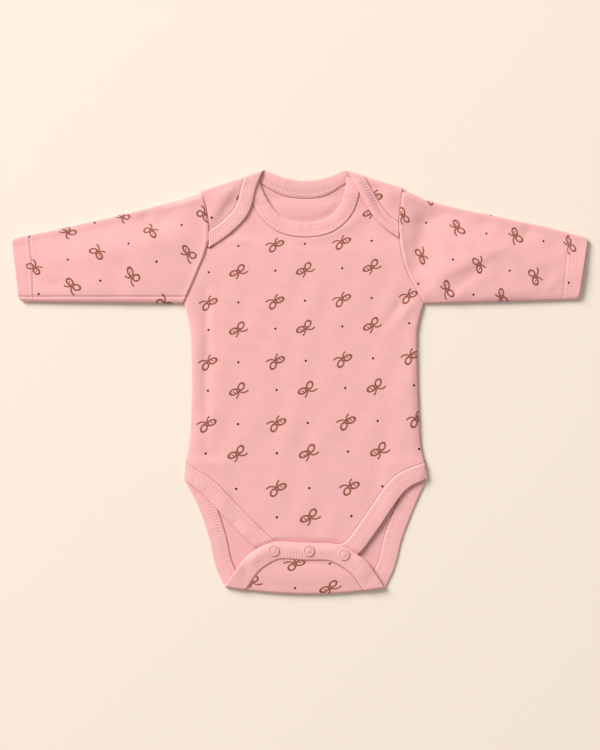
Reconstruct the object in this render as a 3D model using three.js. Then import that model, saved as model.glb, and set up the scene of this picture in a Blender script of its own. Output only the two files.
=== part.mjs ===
// A baby's long-sleeved bodysuit of cotton jersey, laid flat with its front up.
//
// Millimetres. X runs across the sleeves, Y from the crotch up to the neck and Z up from the
// surface that the back rests on. The origin is on that surface, under the middle of the
// garment's outline.
//
// Each piece of cloth is a wall round a middle surface. The piece is first drawn flat, as it
// is cut, in (u, v). A rule then lays it in place, and for the back panel that rule turns its
// shoulder ends and its crotch end over onto the front. Left and right are as seen from above.

import * as THREE from 'three';

// Driving sizes of the cloth.
const CLOTH = 1.0;
const BINDING = 1.6;
const HEM = 1.8;
const SEAM_GAP = 0.3;

// Widths of the bindings and of the hem turned in at each cuff.
const FRONT_NECK_BAND = 13.4;
const LAP_BAND = 13;
const BACK_NECK_BAND = 16;
const FRONT_LEG_BAND = 16;
const BACK_LEG_BAND = 15.5;
const CUFF_HEM = 15;

// Heights of the middle surfaces, layer by layer.
const BACK_MID = CLOTH / 2;
const FRONT_MID = CLOTH + SEAM_GAP + CLOTH / 2;
const OVER_BINDING = BINDING - CLOTH;
const LAP_MID = 2 * BINDING + 2 * SEAM_GAP + CLOTH / 2;
const SOCKET_HEIGHT = 0.8;
const SOCKET_BASE = FRONT_MID - CLOTH / 2 + BINDING + SEAM_GAP;
const TAB_MID = SOCKET_BASE + SOCKET_HEIGHT + SEAM_GAP + CLOTH / 2;
const TAB_FOLD_MID = 3.7;
const OPEN_SWELL = 1.0;

// Snap fasteners at the crotch.
const SNAP_RADIUS = 5.2;
const SNAP_HEIGHT = 1.0;
const SOCKET_RADIUS = 4.2;
const SNAPS = [
  { x: -23.8, y: -150.7 },
  { x: 7.8, y: -150.7 },
  { x: 39.2, y: -154.3 },
];

// How fine the solids are: the spacing of points on open cloth, along edges and in folds.
const FIELD_STEP = 12;
const EDGE_STEP = 8;
const FOLD_STEP = 1.5;
const FOLD_COLUMN_STEP = 4.2;
const FOLD_ROWS = 4;

const BODY_AXIS = 4.5;
const CROTCH_AXIS = 8;

const PINK = 0xf2b3b0;
const PINK_SHADE = 0xeeadaa;
const PINK_ENAMEL = 0xf3aeac;

const points = (...pairs) => pairs.map(([x, y]) => new THREE.Vector2(x, y));

// Edges of the laid garment. Columns: x, y.
const SIDE_LEFT = points([-104, 71.5], [-98.6, 48], [-97.2, 0], [-98.6, -46], [-102.9, -72.2]);
const SIDE_RIGHT = points([111.2, 71.5], [105.3, 47], [105.6, 0], [108, -53.5], [112, -72.2]);

const ARMHOLE_LEFT = points(
  [-104, 71.5], [-90.9, 101.2], [-83, 123], [-82.2, 146], [-87.7, 170.2],
);
const ARMHOLE_RIGHT = points(
  [111.2, 71.5], [95.8, 100.2], [89.6, 126], [88.9, 145], [91.9, 172.6],
);

// The free edge of the front neck, from the left shoulder round to the right one.
const FRONT_NECK_EDGE = points(
  [-37.6, 184], [-29.9, 164.9], [-16.2, 148.9], [2.3, 144],
  [23.1, 147.3], [36.8, 160.8], [42.3, 184.5],
);

// The free edge of the back neck, and of each lap from the neck point down to the armhole.
const BACK_NECK_EDGE = points([-24.5, 187.6], [-10, 183], [5.4, 181.5], [19.8, 183.2], [34, 188.2]);
const LAP_EDGE_LEFT = points(
  [-38.6, 178], [-43.9, 158.2], [-50.8, 145.9], [-64.5, 132.8], [-81.9, 120.8],
);
const LAP_EDGE_RIGHT = points(
  [49.5, 177.5], [59.9, 158.9], [66.2, 149.3], [76.5, 138.6], [88.9, 129.9],
);

// The free edge of the front round both legs and across the crotch, from the left hip.
const FRONT_LEG_EDGE = points(
  [-104.2, -87], [-88, -99.8], [-66.5, -122], [-39.5, -148.7], [-23, -158.6], [8, -160],
  [38, -161], [53, -153.5], [69.3, -132.3], [87.3, -105.8], [98.5, -93.8], [114.3, -86.2],
);

// The back's free edge: down the left leg, round the crotch end that is folded up, and up the
// right leg.
const BACK_LEG_LEFT = points([-104.2, -87], [-91.8, -111.2], [-81.9, -140], [-74.7, -168.8]);
const TAB_EDGE = points(
  [-54, -162.9], [-39.1, -149.7], [-20.4, -142.8], [8, -144], [32, -145], [52.7, -155.2], [65, -167.6],
);
const BACK_LEG_RIGHT = points([84, -168.8], [91.8, -140], [103.5, -110.2], [114.3, -86.2]);

// Where the inner line of a binding meets the seam or the edge that it runs into.
const ends = (left, right) => ({ left: new THREE.Vector2(...left), right: new THREE.Vector2(...right) });
const FRONT_HIP = ends([-102.9, -72.2], [112, -72.2]);
const BACK_HIP = ends([-102.9, -73.2], [112, -73.2]);
const LAP_END = ends([-81.8, 136.2], [88.5, 144.2]);
const FRONT_NECK_END = ends([-50.6, 179.8], [55.4, 180.6]);

// How far inside the shoulder fold the front's hidden shoulder ends.
const SHOULDER_INSET = 2.6;

// Soft troughs and ridges pressed into the front. Columns: the ends of the crease, its half
// width, and its height, which is negative for a trough.
const FRONT_CREASES = [
  { from: [-88, 55], to: [-88, -70], halfWidth: 8, height: -0.7 },
  { from: [-95, 66], to: [-84, 52], halfWidth: 9, height: -0.7 },
  { from: [106, 74], to: [74, 46], halfWidth: 9, height: 0.7 },
  { from: [96, 60], to: [96, -60], halfWidth: 8, height: 0.5 },
  { from: [-70, 124], to: [-36, 112], halfWidth: 9, height: -0.5 },
  { from: [-40, -100], to: [-14, -134], halfWidth: 10, height: -0.5 },
  { from: [52, -96], to: [36, -132], halfWidth: 10, height: -0.5 },
];

// The same for the upper layer of each sleeve, with x and y on the laid garment.
const SLEEVE_CREASES = [
  { from: [-112, 165], to: [-104, 132], halfWidth: 8, height: -0.7 },
  { from: [-146, 150], to: [-150, 130], halfWidth: 8, height: -0.8 },
  { from: [-141, 90], to: [-120, 78], halfWidth: 8, height: -0.6 },
  { from: [114, 164], to: [104, 132], halfWidth: 8, height: -0.9 },
  { from: [124, 82], to: [158, 104], halfWidth: 9, height: 0.7 },
  { from: [228, 86], to: [234, 80], halfWidth: 8, height: -0.7 },
];

// The two sleeves. The cuff runs from its lower corner to its upper one, and droop says how
// far the upper edge sags below a straight line. Columns of droop: share of the length, mm.
const SLEEVES = [
  {
    name: 'sleeve_left', side: -1, armhole: ARMHOLE_LEFT,
    cuff: points([-252.6, 73.2], [-259.1, 129.6]),
    droop: [[0, 0], [0.15, -1.6], [0.4, -2.1], [0.7, -1.6], [1, 0]],
  },
  {
    name: 'sleeve_right', side: 1, armhole: ARMHOLE_RIGHT,
    cuff: points([250.4, 75], [259.1, 130.6]),
    droop: [[0, 0], [0.15, -3.8], [0.3, -3.6], [0.55, -1.6], [0.8, 0], [1, 0]],
  },
];
const SLEEVE_EDGE_RADIUS = 1.0;
const SLEEVE_CROWN = 1.9;
const SLEEVE_ROUNDING = 18;
const ARMHOLE_SHARE = 0.55;
const CUFF_SHARE = 0.45;
const SHOULDER_SHARE = 0.9;
const SHOULDER_FROM = 105;
const SHOULDER_OVER = 50;
const SLEEVE_RINGS = 15;
const CUFF_CORNER = 4;

// Rises smoothly from 0 to 1 as x goes from 0 to 1.
const ramp = (x) => THREE.MathUtils.smoothstep(x, 0, 1);

// Reads a table of [place, value] rows at a place between them.
function interpolate(rows, place) {
  const last = rows.length - 1;
  const next = rows.findIndex(([p]) => p >= place);
  if (next <= 0) return next === 0 ? rows[0][1] : rows[last][1];
  const [p0, v0] = rows[next - 1];
  const [p1, v1] = rows[next];
  return THREE.MathUtils.lerp(v0, v1, ramp((place - p0) / (p1 - p0)));
}

// The added height of a list of creases at a place.
function creaseHeight(creases, x, y) {
  let height = 0;
  for (const crease of creases) {
    const from = new THREE.Vector3(...crease.from, 0);
    const to = new THREE.Vector3(...crease.to, 0);
    const place = new THREE.Vector3(x, y, 0);
    const nearest = new THREE.Line3(from, to).closestPointToPoint(place, true, new THREE.Vector3());
    height += crease.height * Math.exp(-((nearest.distanceTo(place) / crease.halfWidth) ** 2));
  }
  return height;
}

// A fold turns over the cloth that lies beyond an axis, round a half circle of its middle
// surface. depth gives how far a cut point lies beyond the axis, and out is the way there.
const SHOULDER_FOLD_RADIUS = (LAP_MID - BACK_MID) / 2;
const TAB_FOLD_RADIUS = (TAB_FOLD_MID - BACK_MID) / 2;

function shoulderFold(from, to, towardsNeck) {
  const start = new THREE.Vector2(...from);
  const along = new THREE.Vector2(...to).sub(start).normalize();
  const out = new THREE.Vector2(-along.y, along.x).multiplyScalar(towardsNeck);
  const axis = start.clone().addScaledVector(out, -SHOULDER_FOLD_RADIUS - CLOTH / 2);
  return {
    radius: SHOULDER_FOLD_RADIUS,
    out,
    along,
    axis,
    length: new THREE.Vector2(...to).distanceTo(start),
    depth: (p) => p.clone().sub(axis).dot(out),
    holds: (p) => (p.x - BODY_AXIS) * out.x > 0 && p.y > 100,
  };
}

const FOLD_LEFT = shoulderFold([-36.9, 189.5], [-86.4, 173.3], -1);
const FOLD_RIGHT = shoulderFold([45, 189.5], [91.8, 175.1], 1);

// The crotch fold is a shallow arc, lowest at the middle.
const CROTCH_FOLD_LOW = -188.2;
const CROTCH_FOLD_RISE = 7;
const CROTCH_FOLD_HALF = 76;
const crotchAxis = (x) =>
  CROTCH_FOLD_LOW + CROTCH_FOLD_RISE * ((x - CROTCH_AXIS) / CROTCH_FOLD_HALF) ** 2;
const FOLD_CROTCH = {
  radius: TAB_FOLD_RADIUS,
  out: new THREE.Vector2(0, -1),
  along: new THREE.Vector2(1, 0),
  depth: (p) => crotchAxis(p.x) - p.y,
  holds: (p) => p.y < -120,
};
const FOLDS = [FOLD_LEFT, FOLD_RIGHT, FOLD_CROTCH];

// Where a point of the laid lap or tab lies on the flat cut, and the other way round.
function unfold(fold, laid) {
  const turned = -fold.depth(laid);
  return laid.clone().addScaledVector(fold.out, 2 * turned + Math.PI * fold.radius);
}

function layFold(fold, cut) {
  const depth = fold.depth(cut);
  const turn = Math.min(depth / fold.radius, Math.PI);
  const beyond = Math.max(depth - Math.PI * fold.radius, 0);
  const laid = cut.clone().addScaledVector(fold.out, fold.radius * Math.sin(turn) - beyond - depth);
  return new THREE.Vector3(laid.x, laid.y, fold.radius * (1 - Math.cos(turn)));
}

const inFoldZone = (p) =>
  FOLDS.some((fold) => {
    const depth = fold.depth(p);
    return fold.holds(p) && depth > -FOLD_STEP && depth < Math.PI * fold.radius + FOLD_STEP;
  });

// The middle surface of the back panel, laid from its cut.
function layBack(cut) {
  const fold = FOLDS.find((f) => f.holds(cut) && f.depth(cut) > 0);
  if (!fold) return new THREE.Vector3(cut.x, cut.y, BACK_MID);
  const laid = layFold(fold, cut);
  laid.z += BACK_MID;
  if (fold === FOLD_CROTCH) laid.z += tabRise(laid.x, fold.depth(cut));
  return laid;
}

// The tab climbs from the fold onto the front's crotch end and the snaps, which reach to
// about CROTCH_HALF on each side.
const TAB_CLIMB = 16;
const CROTCH_HALF = 47;
const CROTCH_FADE = 12;
function tabRise(x, depth) {
  const climbed = ramp((depth - Math.PI * TAB_FOLD_RADIUS) / TAB_CLIMB);
  const overFront = 1 - ramp((Math.abs(x - CROTCH_AXIS) - CROTCH_HALF) / CROTCH_FADE);
  return (TAB_MID - TAB_FOLD_MID) * climbed * overFront;
}

// The middle surface of the front: just over the back, higher where it crosses the back's
// bindings, and swelling a little in open cloth. Each line of the table is a place where one
// of these starts, and the distance over which it comes in.
const FRONT_ZONES = {
  backLegBelow: { from: -62, over: 12 },
  backLegOutside: { from: 62, over: 14 },
  backNeckAbove: { from: 158, over: 12 },
  backNeckInside: { from: 64, over: 6 },
  openInside: { from: 102, over: 18 },
  openBelow: { from: 132, over: 24 },
  openAbove: { from: -142, over: 20 },
};
const beyond = ({ from, over }, place) => ramp((place - from) / over);
const short = ({ from, over }, place) => ramp((from - place) / over);

function layFront(cut) {
  const { x, y } = cut;
  const zones = FRONT_ZONES;
  const fromAxis = Math.abs(x - BODY_AXIS);
  const overBackLeg = short(zones.backLegBelow, y) * beyond(zones.backLegOutside, fromAxis);
  const overBackNeck = beyond(zones.backNeckAbove, y) * short(zones.backNeckInside, fromAxis);
  const inFromSides = short(zones.openInside, fromAxis);
  const open = inFromSides * short(zones.openBelow, y) * beyond(zones.openAbove, y);
  const swell = open * (OPEN_SWELL + creaseHeight(FRONT_CREASES, x, y));
  const height = FRONT_MID + OVER_BINDING * Math.max(overBackLeg, overBackNeck) + swell;
  return new THREE.Vector3(x, y, height);
}

// A binding is thicker than the cloth, and proud of it on its upper side.
const raised = (lay) => (cut) => lay(cut).add(new THREE.Vector3(0, 0, OVER_BINDING / 2));

// Points along a curve, closer together where isFine holds for the point or its partner.
function trace(curve, isFine) {
  const fineness = Math.ceil(curve.getLength() / 0.25);
  const dense = curve.getSpacedPoints(fineness);
  const share = curve.getLength() / fineness;
  const kept = [dense[0]];
  let travelled = 0;
  for (const p of dense.slice(1, -1)) {
    travelled += share / (isFine(p) ? FOLD_STEP : EDGE_STEP);
    if (travelled >= 1) {
      kept.push(p);
      travelled = 0;
    }
  }
  if (travelled < 0.5 && kept.length > 1) kept.pop();
  kept.push(dense[fineness]);
  return kept;
}

// The unit normal on the left of each point of an open line.
function leftNormals(line) {
  return line.map((p, i) => {
    const ahead = line[Math.min(i + 1, line.length - 1)];
    const behind = line[Math.max(i - 1, 0)];
    const way = ahead.clone().sub(behind).normalize();
    return new THREE.Vector2(-way.y, way.x);
  });
}

// A line at a width to the left of a free edge, led at its two ends into the points given.
const LEAD = 26;
function innerLine(edge, widths, start, end) {
  const normals = leftNormals(edge);
  const line = edge.map((p, i) => p.clone().addScaledVector(normals[i], widths[i]));
  const travelled = edge.map(() => 0);
  for (let i = 1; i < edge.length; i += 1) {
    travelled[i] = travelled[i - 1] + edge[i].distanceTo(edge[i - 1]);
  }
  const length = travelled[edge.length - 1];
  const leadStart = start.clone().sub(line[0]);
  const leadEnd = end.clone().sub(line[line.length - 1]);
  return line.map((p, i) =>
    p.clone()
      .addScaledVector(leadStart, 1 - ramp(travelled[i] / LEAD))
      .addScaledVector(leadEnd, 1 - ramp((length - travelled[i]) / LEAD)),
  );
}

// A binding's free edge, its own inner line, and the panel's edge a seam gap further in. Its
// points are close together wherever the band crosses a fold.
function bindingLines({ edge: edgePoints, width, start, end, panelStart, panelEnd }) {
  const curve = new THREE.SplineCurve(edgePoints);
  const probe = curve.getSpacedPoints(240);
  const probeWidths = probe.map(width);
  const probeInner = innerLine(probe, probeWidths, start, end);
  const fineProbe = probe.map((p, i) =>
    [0, 0.25, 0.5, 0.75, 1].some((share) => inFoldZone(p.clone().lerp(probeInner[i], share))),
  );
  const isFine = (p) => {
    const distances = probe.map((q) => q.distanceTo(p));
    return fineProbe[distances.indexOf(Math.min(...distances))];
  };
  const edge = trace(curve, isFine);
  const widths = edge.map(width);
  return {
    edge,
    inner: innerLine(edge, widths, start, end),
    panel: innerLine(edge, widths.map((w) => w + SEAM_GAP), panelStart, panelEnd),
  };
}

// Whether a point is inside an outline, and how far it is from it.
function isInside(outline, p) {
  let inside = false;
  outline.forEach((a, i) => {
    const b = outline[(i + 1) % outline.length];
    const crosses = a.y > p.y !== b.y > p.y;
    if (crosses && p.x < a.x + ((b.x - a.x) * (p.y - a.y)) / (b.y - a.y)) inside = !inside;
  });
  return inside;
}

function distanceToOutline(outline, p) {
  let nearest = Infinity;
  outline.forEach((a, i) => {
    const b = outline[(i + 1) % outline.length];
    const side = b.clone().sub(a);
    const share = THREE.MathUtils.clamp(p.clone().sub(a).dot(side) / side.lengthSq(), 0, 1);
    nearest = Math.min(nearest, p.distanceTo(a.clone().addScaledVector(side, share)));
  });
  return nearest;
}

// Rows of points that follow each fold, so that the turn is round.
function foldPoints(outline) {
  const found = [];
  const add = (p) => {
    if (isInside(outline, p) && distanceToOutline(outline, p) > FOLD_STEP * 0.8) found.push(p);
  };
  for (let row = 0; row <= FOLD_ROWS; row += 1) {
    for (const fold of [FOLD_LEFT, FOLD_RIGHT]) {
      const depth = (row / FOLD_ROWS) * Math.PI * fold.radius;
      for (let step = -fold.length; step < 2 * fold.length; step += FOLD_COLUMN_STEP) {
        const p = fold.axis.clone().addScaledVector(fold.along, step).addScaledVector(fold.out, depth);
        if (fold.holds(p)) add(p);
      }
    }
    const depth = (row / FOLD_ROWS) * Math.PI * FOLD_CROTCH.radius;
    for (let x = -80; x < 95; x += FOLD_COLUMN_STEP) add(new THREE.Vector2(x, crotchAxis(x) - depth));
  }
  return found;
}

// Points over the open cloth, in staggered rows.
function fieldPoints(outline, step) {
  const box = new THREE.Box2().setFromPoints(outline);
  const found = [];
  let stagger = 0;
  for (let y = box.min.y; y < box.max.y; y += step * 0.87) {
    stagger = step / 2 - stagger;
    for (let x = box.min.x + stagger; x < box.max.x; x += step) {
      const p = new THREE.Vector2(x, y);
      if (isInside(outline, p) && !inFoldZone(p) && distanceToOutline(outline, p) > step * 0.45) {
        found.push(p);
      }
    }
  }
  return found;
}

// Joins points in the plane into triangles, none with another point in its circle, by adding
// the points one at a time inside a large first triangle.
function joinPoints(given) {
  const far = 1e4;
  const all = [...given, ...points([-far, -far], [far, -far], [0, far])];
  const circleOf = (a, b, c) => {
    const [p, q, r] = [all[a], all[b], all[c]];
    const d = 2 * (p.x * (q.y - r.y) + q.x * (r.y - p.y) + r.x * (p.y - q.y));
    const [pp, qq, rr] = [p.lengthSq(), q.lengthSq(), r.lengthSq()];
    const x = (pp * (q.y - r.y) + qq * (r.y - p.y) + rr * (p.y - q.y)) / d;
    const y = (pp * (r.x - q.x) + qq * (p.x - r.x) + rr * (q.x - p.x)) / d;
    return { corners: [a, b, c], x, y, reach: (p.x - x) ** 2 + (p.y - y) ** 2 };
  };
  const count = given.length;
  let circles = [circleOf(count, count + 1, count + 2)];
  given.forEach((p, index) => {
    const open = new Map();
    circles = circles.filter((circle) => {
      if ((p.x - circle.x) ** 2 + (p.y - circle.y) ** 2 >= circle.reach) return true;
      circle.corners.forEach((a, i) => {
        const b = circle.corners[(i + 1) % 3];
        if (open.has(`${b},${a}`)) open.delete(`${b},${a}`);
        else open.set(`${a},${b}`, [a, b]);
      });
      return false;
    });
    for (const [a, b] of open.values()) circles.push(circleOf(a, b, index));
  });
  return circles.map((circle) => circle.corners).filter((corners) => corners.every((i) => i < count));
}

// A closed wall round a middle surface: its two faces, and a rim along each open edge.
function wall(middle, triangles, halfUp, halfDown) {
  const sheet = new THREE.BufferGeometry();
  sheet.setFromPoints(middle);
  sheet.setIndex(triangles.flat());
  sheet.computeVertexNormals();
  const normals = sheet.getAttribute('normal');
  const normal = new THREE.Vector3();
  const count = middle.length;
  const vertices = [];
  [halfUp, (i) => -halfDown(i)].forEach((offset) => {
    middle.forEach((p, i) => {
      normal.fromBufferAttribute(normals, i);
      vertices.push(p.clone().addScaledVector(normal, offset(i)));
    });
  });
  const faces = [];
  const edges = new Map();
  for (const [a, b, c] of triangles) {
    faces.push(a, b, c, a + count, c + count, b + count);
    for (const [from, to] of [[a, b], [b, c], [c, a]]) edges.set(`${from},${to}`, [from, to]);
  }
  for (const [from, to] of edges.values()) {
    if (!edges.has(`${to},${from}`)) {
      faces.push(to, from, from + count, to, from + count, to + count);
    }
  }
  const geometry = new THREE.BufferGeometry().setFromPoints(vertices);
  geometry.setIndex(faces);
  return geometry;
}

// A piece cut to an outline and laid in place.
function clothPiece(outline, lay, thickness, step) {
  const nudge = (p, i) => new THREE.Vector2(p.x + 1e-3 * Math.sin(7 * i), p.y + 1e-3 * Math.cos(5 * i));
  const inner = [...foldPoints(outline), ...fieldPoints(outline, step)].map(nudge);
  const cut = [...outline, ...inner];
  const triangles = joinPoints(cut).filter((corners) => {
    const [a, b, c] = corners.map((i) => cut[i]);
    const middle = a.clone().add(b).add(c).divideScalar(3);
    const area = Math.abs(b.clone().sub(a).cross(c.clone().sub(a))) / 2;
    return area > 0.01 && isInside(outline, middle);
  });
  const used = [...new Set(triangles.flat())].sort((a, b) => a - b);
  const newIndex = new Map(used.map((old, i) => [old, i]));
  const kept = triangles.map((corners) => corners.map((i) => newIndex.get(i)));
  return wall(used.map((i) => lay(cut[i])), kept, () => thickness / 2, () => thickness / 2);
}

// The open lines that pieces share, each from its lower or left end.
const nowhere = () => false;
const line = (tablePoints) => trace(new THREE.SplineCurve(tablePoints), nowhere);
const sideLeft = line([...SIDE_LEFT].reverse());
const sideRight = line([...SIDE_RIGHT].reverse());
const armholeLeft = line(ARMHOLE_LEFT);
const armholeRight = line(ARMHOLE_RIGHT);

// The armhole's end on the cut of the back: over the fold and down the lap to its binding.
function lapSide(fold, armhole, lapEnd) {
  const top = armhole[armhole.length - 1];
  const round = [];
  for (let row = 1; row < FOLD_ROWS; row += 1) {
    round.push(top.clone().addScaledVector(fold.out, (row / FOLD_ROWS) * Math.PI * fold.radius));
  }
  const covered = armhole.filter((p) => p.y > lapEnd.y + EDGE_STEP / 2).reverse();
  return [...round, ...covered.map((p) => unfold(fold, p)), unfold(fold, lapEnd)];
}

// Free edge, inner line and seam line of each binding. The back neck's binding narrows from
// NECK_HALF outwards to the laps.
const NECK_HALF = 10;
const NECK_FADE = 26;
const lapWidth = (p) => {
  const outwards = ramp((Math.abs(p.x - BODY_AXIS) - NECK_HALF) / NECK_FADE);
  return THREE.MathUtils.lerp(BACK_NECK_BAND, LAP_BAND, outwards);
};
const widest = SEAM_GAP + 0.05;
const above = (p) => new THREE.Vector2(p.x, p.y + widest);

const frontNeck = bindingLines({
  edge: [...FRONT_NECK_EDGE].reverse(),
  width: () => FRONT_NECK_BAND,
  start: FRONT_NECK_END.right,
  end: FRONT_NECK_END.left,
  panelStart: FRONT_NECK_END.right.clone().add(new THREE.Vector2(widest, 0)),
  panelEnd: FRONT_NECK_END.left.clone().sub(new THREE.Vector2(widest, 0)),
});

const frontLegs = bindingLines({
  edge: FRONT_LEG_EDGE,
  width: () => FRONT_LEG_BAND,
  start: FRONT_HIP.left,
  end: FRONT_HIP.right,
  panelStart: above(FRONT_HIP.left),
  panelEnd: above(FRONT_HIP.right),
});

const lapTowardsNeck = (fold, p) => unfold(fold, above(p));
const backNeck = bindingLines({
  edge: [
    ...LAP_EDGE_LEFT.map((p) => unfold(FOLD_LEFT, p)).reverse(),
    ...BACK_NECK_EDGE,
    ...LAP_EDGE_RIGHT.map((p) => unfold(FOLD_RIGHT, p)),
  ].reverse(),
  width: lapWidth,
  start: unfold(FOLD_RIGHT, LAP_END.right),
  end: unfold(FOLD_LEFT, LAP_END.left),
  panelStart: lapTowardsNeck(FOLD_RIGHT, LAP_END.right),
  panelEnd: lapTowardsNeck(FOLD_LEFT, LAP_END.left),
});

const backLegs = bindingLines({
  edge: [...BACK_LEG_LEFT, ...TAB_EDGE.map((p) => unfold(FOLD_CROTCH, p)), ...BACK_LEG_RIGHT],
  width: () => BACK_LEG_BAND,
  start: BACK_HIP.left,
  end: BACK_HIP.right,
  panelStart: above(BACK_HIP.left),
  panelEnd: above(BACK_HIP.right),
});

// The two panels' outlines, each drawn once round from the left hip.
const withoutEnds = (tracedLine) => tracedLine.slice(1, -1);
const underFold = (fold, armhole) =>
  armhole[armhole.length - 1].clone().addScaledVector(fold.out, -SHOULDER_INSET);
const belowFold = (fold, armhole) => armhole.filter((p) => fold.depth(p) < -SHOULDER_INSET - 2);

const frontOutline = [
  ...frontLegs.panel,
  ...withoutEnds(sideRight),
  ...belowFold(FOLD_RIGHT, armholeRight),
  underFold(FOLD_RIGHT, armholeRight),
  ...frontNeck.panel,
  underFold(FOLD_LEFT, armholeLeft),
  ...belowFold(FOLD_LEFT, armholeLeft).reverse(),
  ...withoutEnds(sideLeft).reverse(),
];

const backOutline = [
  ...backLegs.panel,
  ...withoutEnds(sideRight),
  ...armholeRight,
  ...lapSide(FOLD_RIGHT, armholeRight, above(LAP_END.right)).slice(0, -1),
  ...backNeck.panel,
  ...lapSide(FOLD_LEFT, armholeLeft, above(LAP_END.left)).slice(0, -1).reverse(),
  ...[...armholeLeft].reverse(),
  ...withoutEnds(sideLeft).reverse(),
];

const strip = ({ edge, inner }) => [...edge, ...[...inner].reverse()];

// A sleeve: a tube pressed flat, with its upper and lower edges rounded, open at both ends,
// and thicker inside where the hem is turned in at the cuff.
function sleeveGeometry(sleeve) {
  const armhole = new THREE.SplineCurve(sleeve.armhole);
  const [low, high] = sleeve.cuff;
  const cuffLength = low.distanceTo(high);
  const atArmhole = (w) => armhole.getPointAt(w).add(new THREE.Vector2(sleeve.side * SEAM_GAP, 0));
  const atCuff = (w) => {
    const fromCorner = Math.min(w, 1 - w) * cuffLength;
    const short = Math.max(1 - fromCorner / CUFF_CORNER, 0);
    const rounding = CUFF_CORNER * (1 - Math.sqrt(1 - short ** 2));
    return low.clone().lerp(high, w).add(new THREE.Vector2(-sleeve.side * rounding, 0));
  };
  const place = (t, w) => {
    const p = atArmhole(w).lerp(atCuff(w), t);
    p.y += w * interpolate(sleeve.droop, t);
    return p;
  };
  // How far the upper layer stands over the lower one: highest in open cloth, less at the
  // armhole and at the cuff, and up to the lap's height at the shoulder.
  const crown = (t, fromLow, fromHigh, p) => {
    const open = ramp(fromLow / SLEEVE_ROUNDING) * ramp(fromHigh / SLEEVE_ROUNDING);
    const fromArmhole = THREE.MathUtils.lerp(ARMHOLE_SHARE, 1, ramp(t / 0.25));
    const towardsCuff = THREE.MathUtils.lerp(1, CUFF_SHARE, ramp((t - 0.6) / 0.4));
    const upShoulder = ramp((p.y - SHOULDER_FROM) / SHOULDER_OVER);
    const towardsShoulder = ramp(1 - t / 0.3) * upShoulder * ramp(fromHigh / CUFF_CORNER);
    const share = Math.max(open * towardsCuff * fromArmhole, SHOULDER_SHARE * towardsShoulder);
    const creased = creaseHeight(SLEEVE_CREASES, p.x, p.y) * open;
    return Math.min(SLEEVE_CROWN * share + creased, SLEEVE_CROWN);
  };

  const length = place(0, 0.5).distanceTo(place(1, 0.5));
  const hem = 1 - CUFF_HEM / length;
  const shares = [];
  for (let ring = 0; ring < SLEEVE_RINGS; ring += 1) shares.push((ring / (SLEEVE_RINGS - 1)) * hem);
  shares.push(hem + 1 / length, (hem + 1) / 2, 1 - 1.5 / length, 1);

  const r = SLEEVE_EDGE_RADIUS;
  const ringAt = (t) => {
    const width = place(t, 0).distanceTo(place(t, 1));
    const ring = [];
    const add = (across, height) => {
      const p = place(t, THREE.MathUtils.clamp(across / width, 0, 1));
      ring.push(new THREE.Vector3(p.x, p.y, BACK_MID + height));
    };
    const rounded = [0.25, 0.5, 0.75].map((share) => share * Math.PI);
    for (let i = 0; i <= 6; i += 1) add(r + (i / 6) * (width - 2 * r), 0);
    for (const angle of rounded) add(width - r + r * Math.sin(angle), r * (1 - Math.cos(angle)));
    for (let i = 0; i <= 9; i += 1) {
      const across = width - r - (i / 9) * (width - 2 * r);
      const p = place(t, across / width);
      add(across, 2 * r + crown(t, across, width - across, p));
    }
    for (const angle of rounded) add(r - r * Math.sin(angle), r * (1 + Math.cos(angle)));
    return ring;
  };

  const rings = shares.map(ringAt);
  const around = rings[0].length;
  const triangles = [];
  for (let ring = 0; ring < rings.length - 1; ring += 1) {
    for (let i = 0; i < around; i += 1) {
      const a = ring * around + i;
      const b = ring * around + ((i + 1) % around);
      const [c, d] = [a + around, b + around];
      if (sleeve.side < 0) triangles.push([a, c, d], [a, d, b]);
      else triangles.push([a, d, c], [a, b, d]);
    }
  }
  const inHem = (i) => shares[Math.floor(i / around)] > hem;
  return wall(rings.flat(), triangles, () => CLOTH / 2, (i) => (inHem(i) ? HEM : CLOTH) - CLOTH / 2);
}

// Snap fasteners: a ring cap outside the tab, and the socket that it is pressed into below.
const turned = (profile) => {
  const geometry = new THREE.LatheGeometry(points(...profile), 20);
  geometry.rotateX(Math.PI / 2);
  return geometry;
};

const capGeometry = () => turned([
  [0, 0], [SNAP_RADIUS, 0], [SNAP_RADIUS, SNAP_HEIGHT * 0.6], [SNAP_RADIUS - 0.5, SNAP_HEIGHT],
  [SNAP_RADIUS - 1.2, SNAP_HEIGHT], [SNAP_RADIUS - 1.6, SNAP_HEIGHT * 0.45],
  [SNAP_RADIUS - 2, SNAP_HEIGHT * 0.75], [0, SNAP_HEIGHT * 0.95],
]);

const socketGeometry = () => turned([
  [0, 0], [SOCKET_RADIUS, 0], [SOCKET_RADIUS, SOCKET_HEIGHT], [0, SOCKET_HEIGHT],
]);

// The bodysuit.
const bodysuit = new THREE.Group();
bodysuit.name = 'bodysuit';

function addPiece(name, geometry, colour, roughness, position = [0, 0, 0]) {
  const material = new THREE.MeshStandardMaterial({ color: colour, roughness, metalness: 0 });
  const mesh = new THREE.Mesh(geometry, material);
  mesh.name = name;
  mesh.position.set(...position);
  bodysuit.add(mesh);
}

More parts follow.
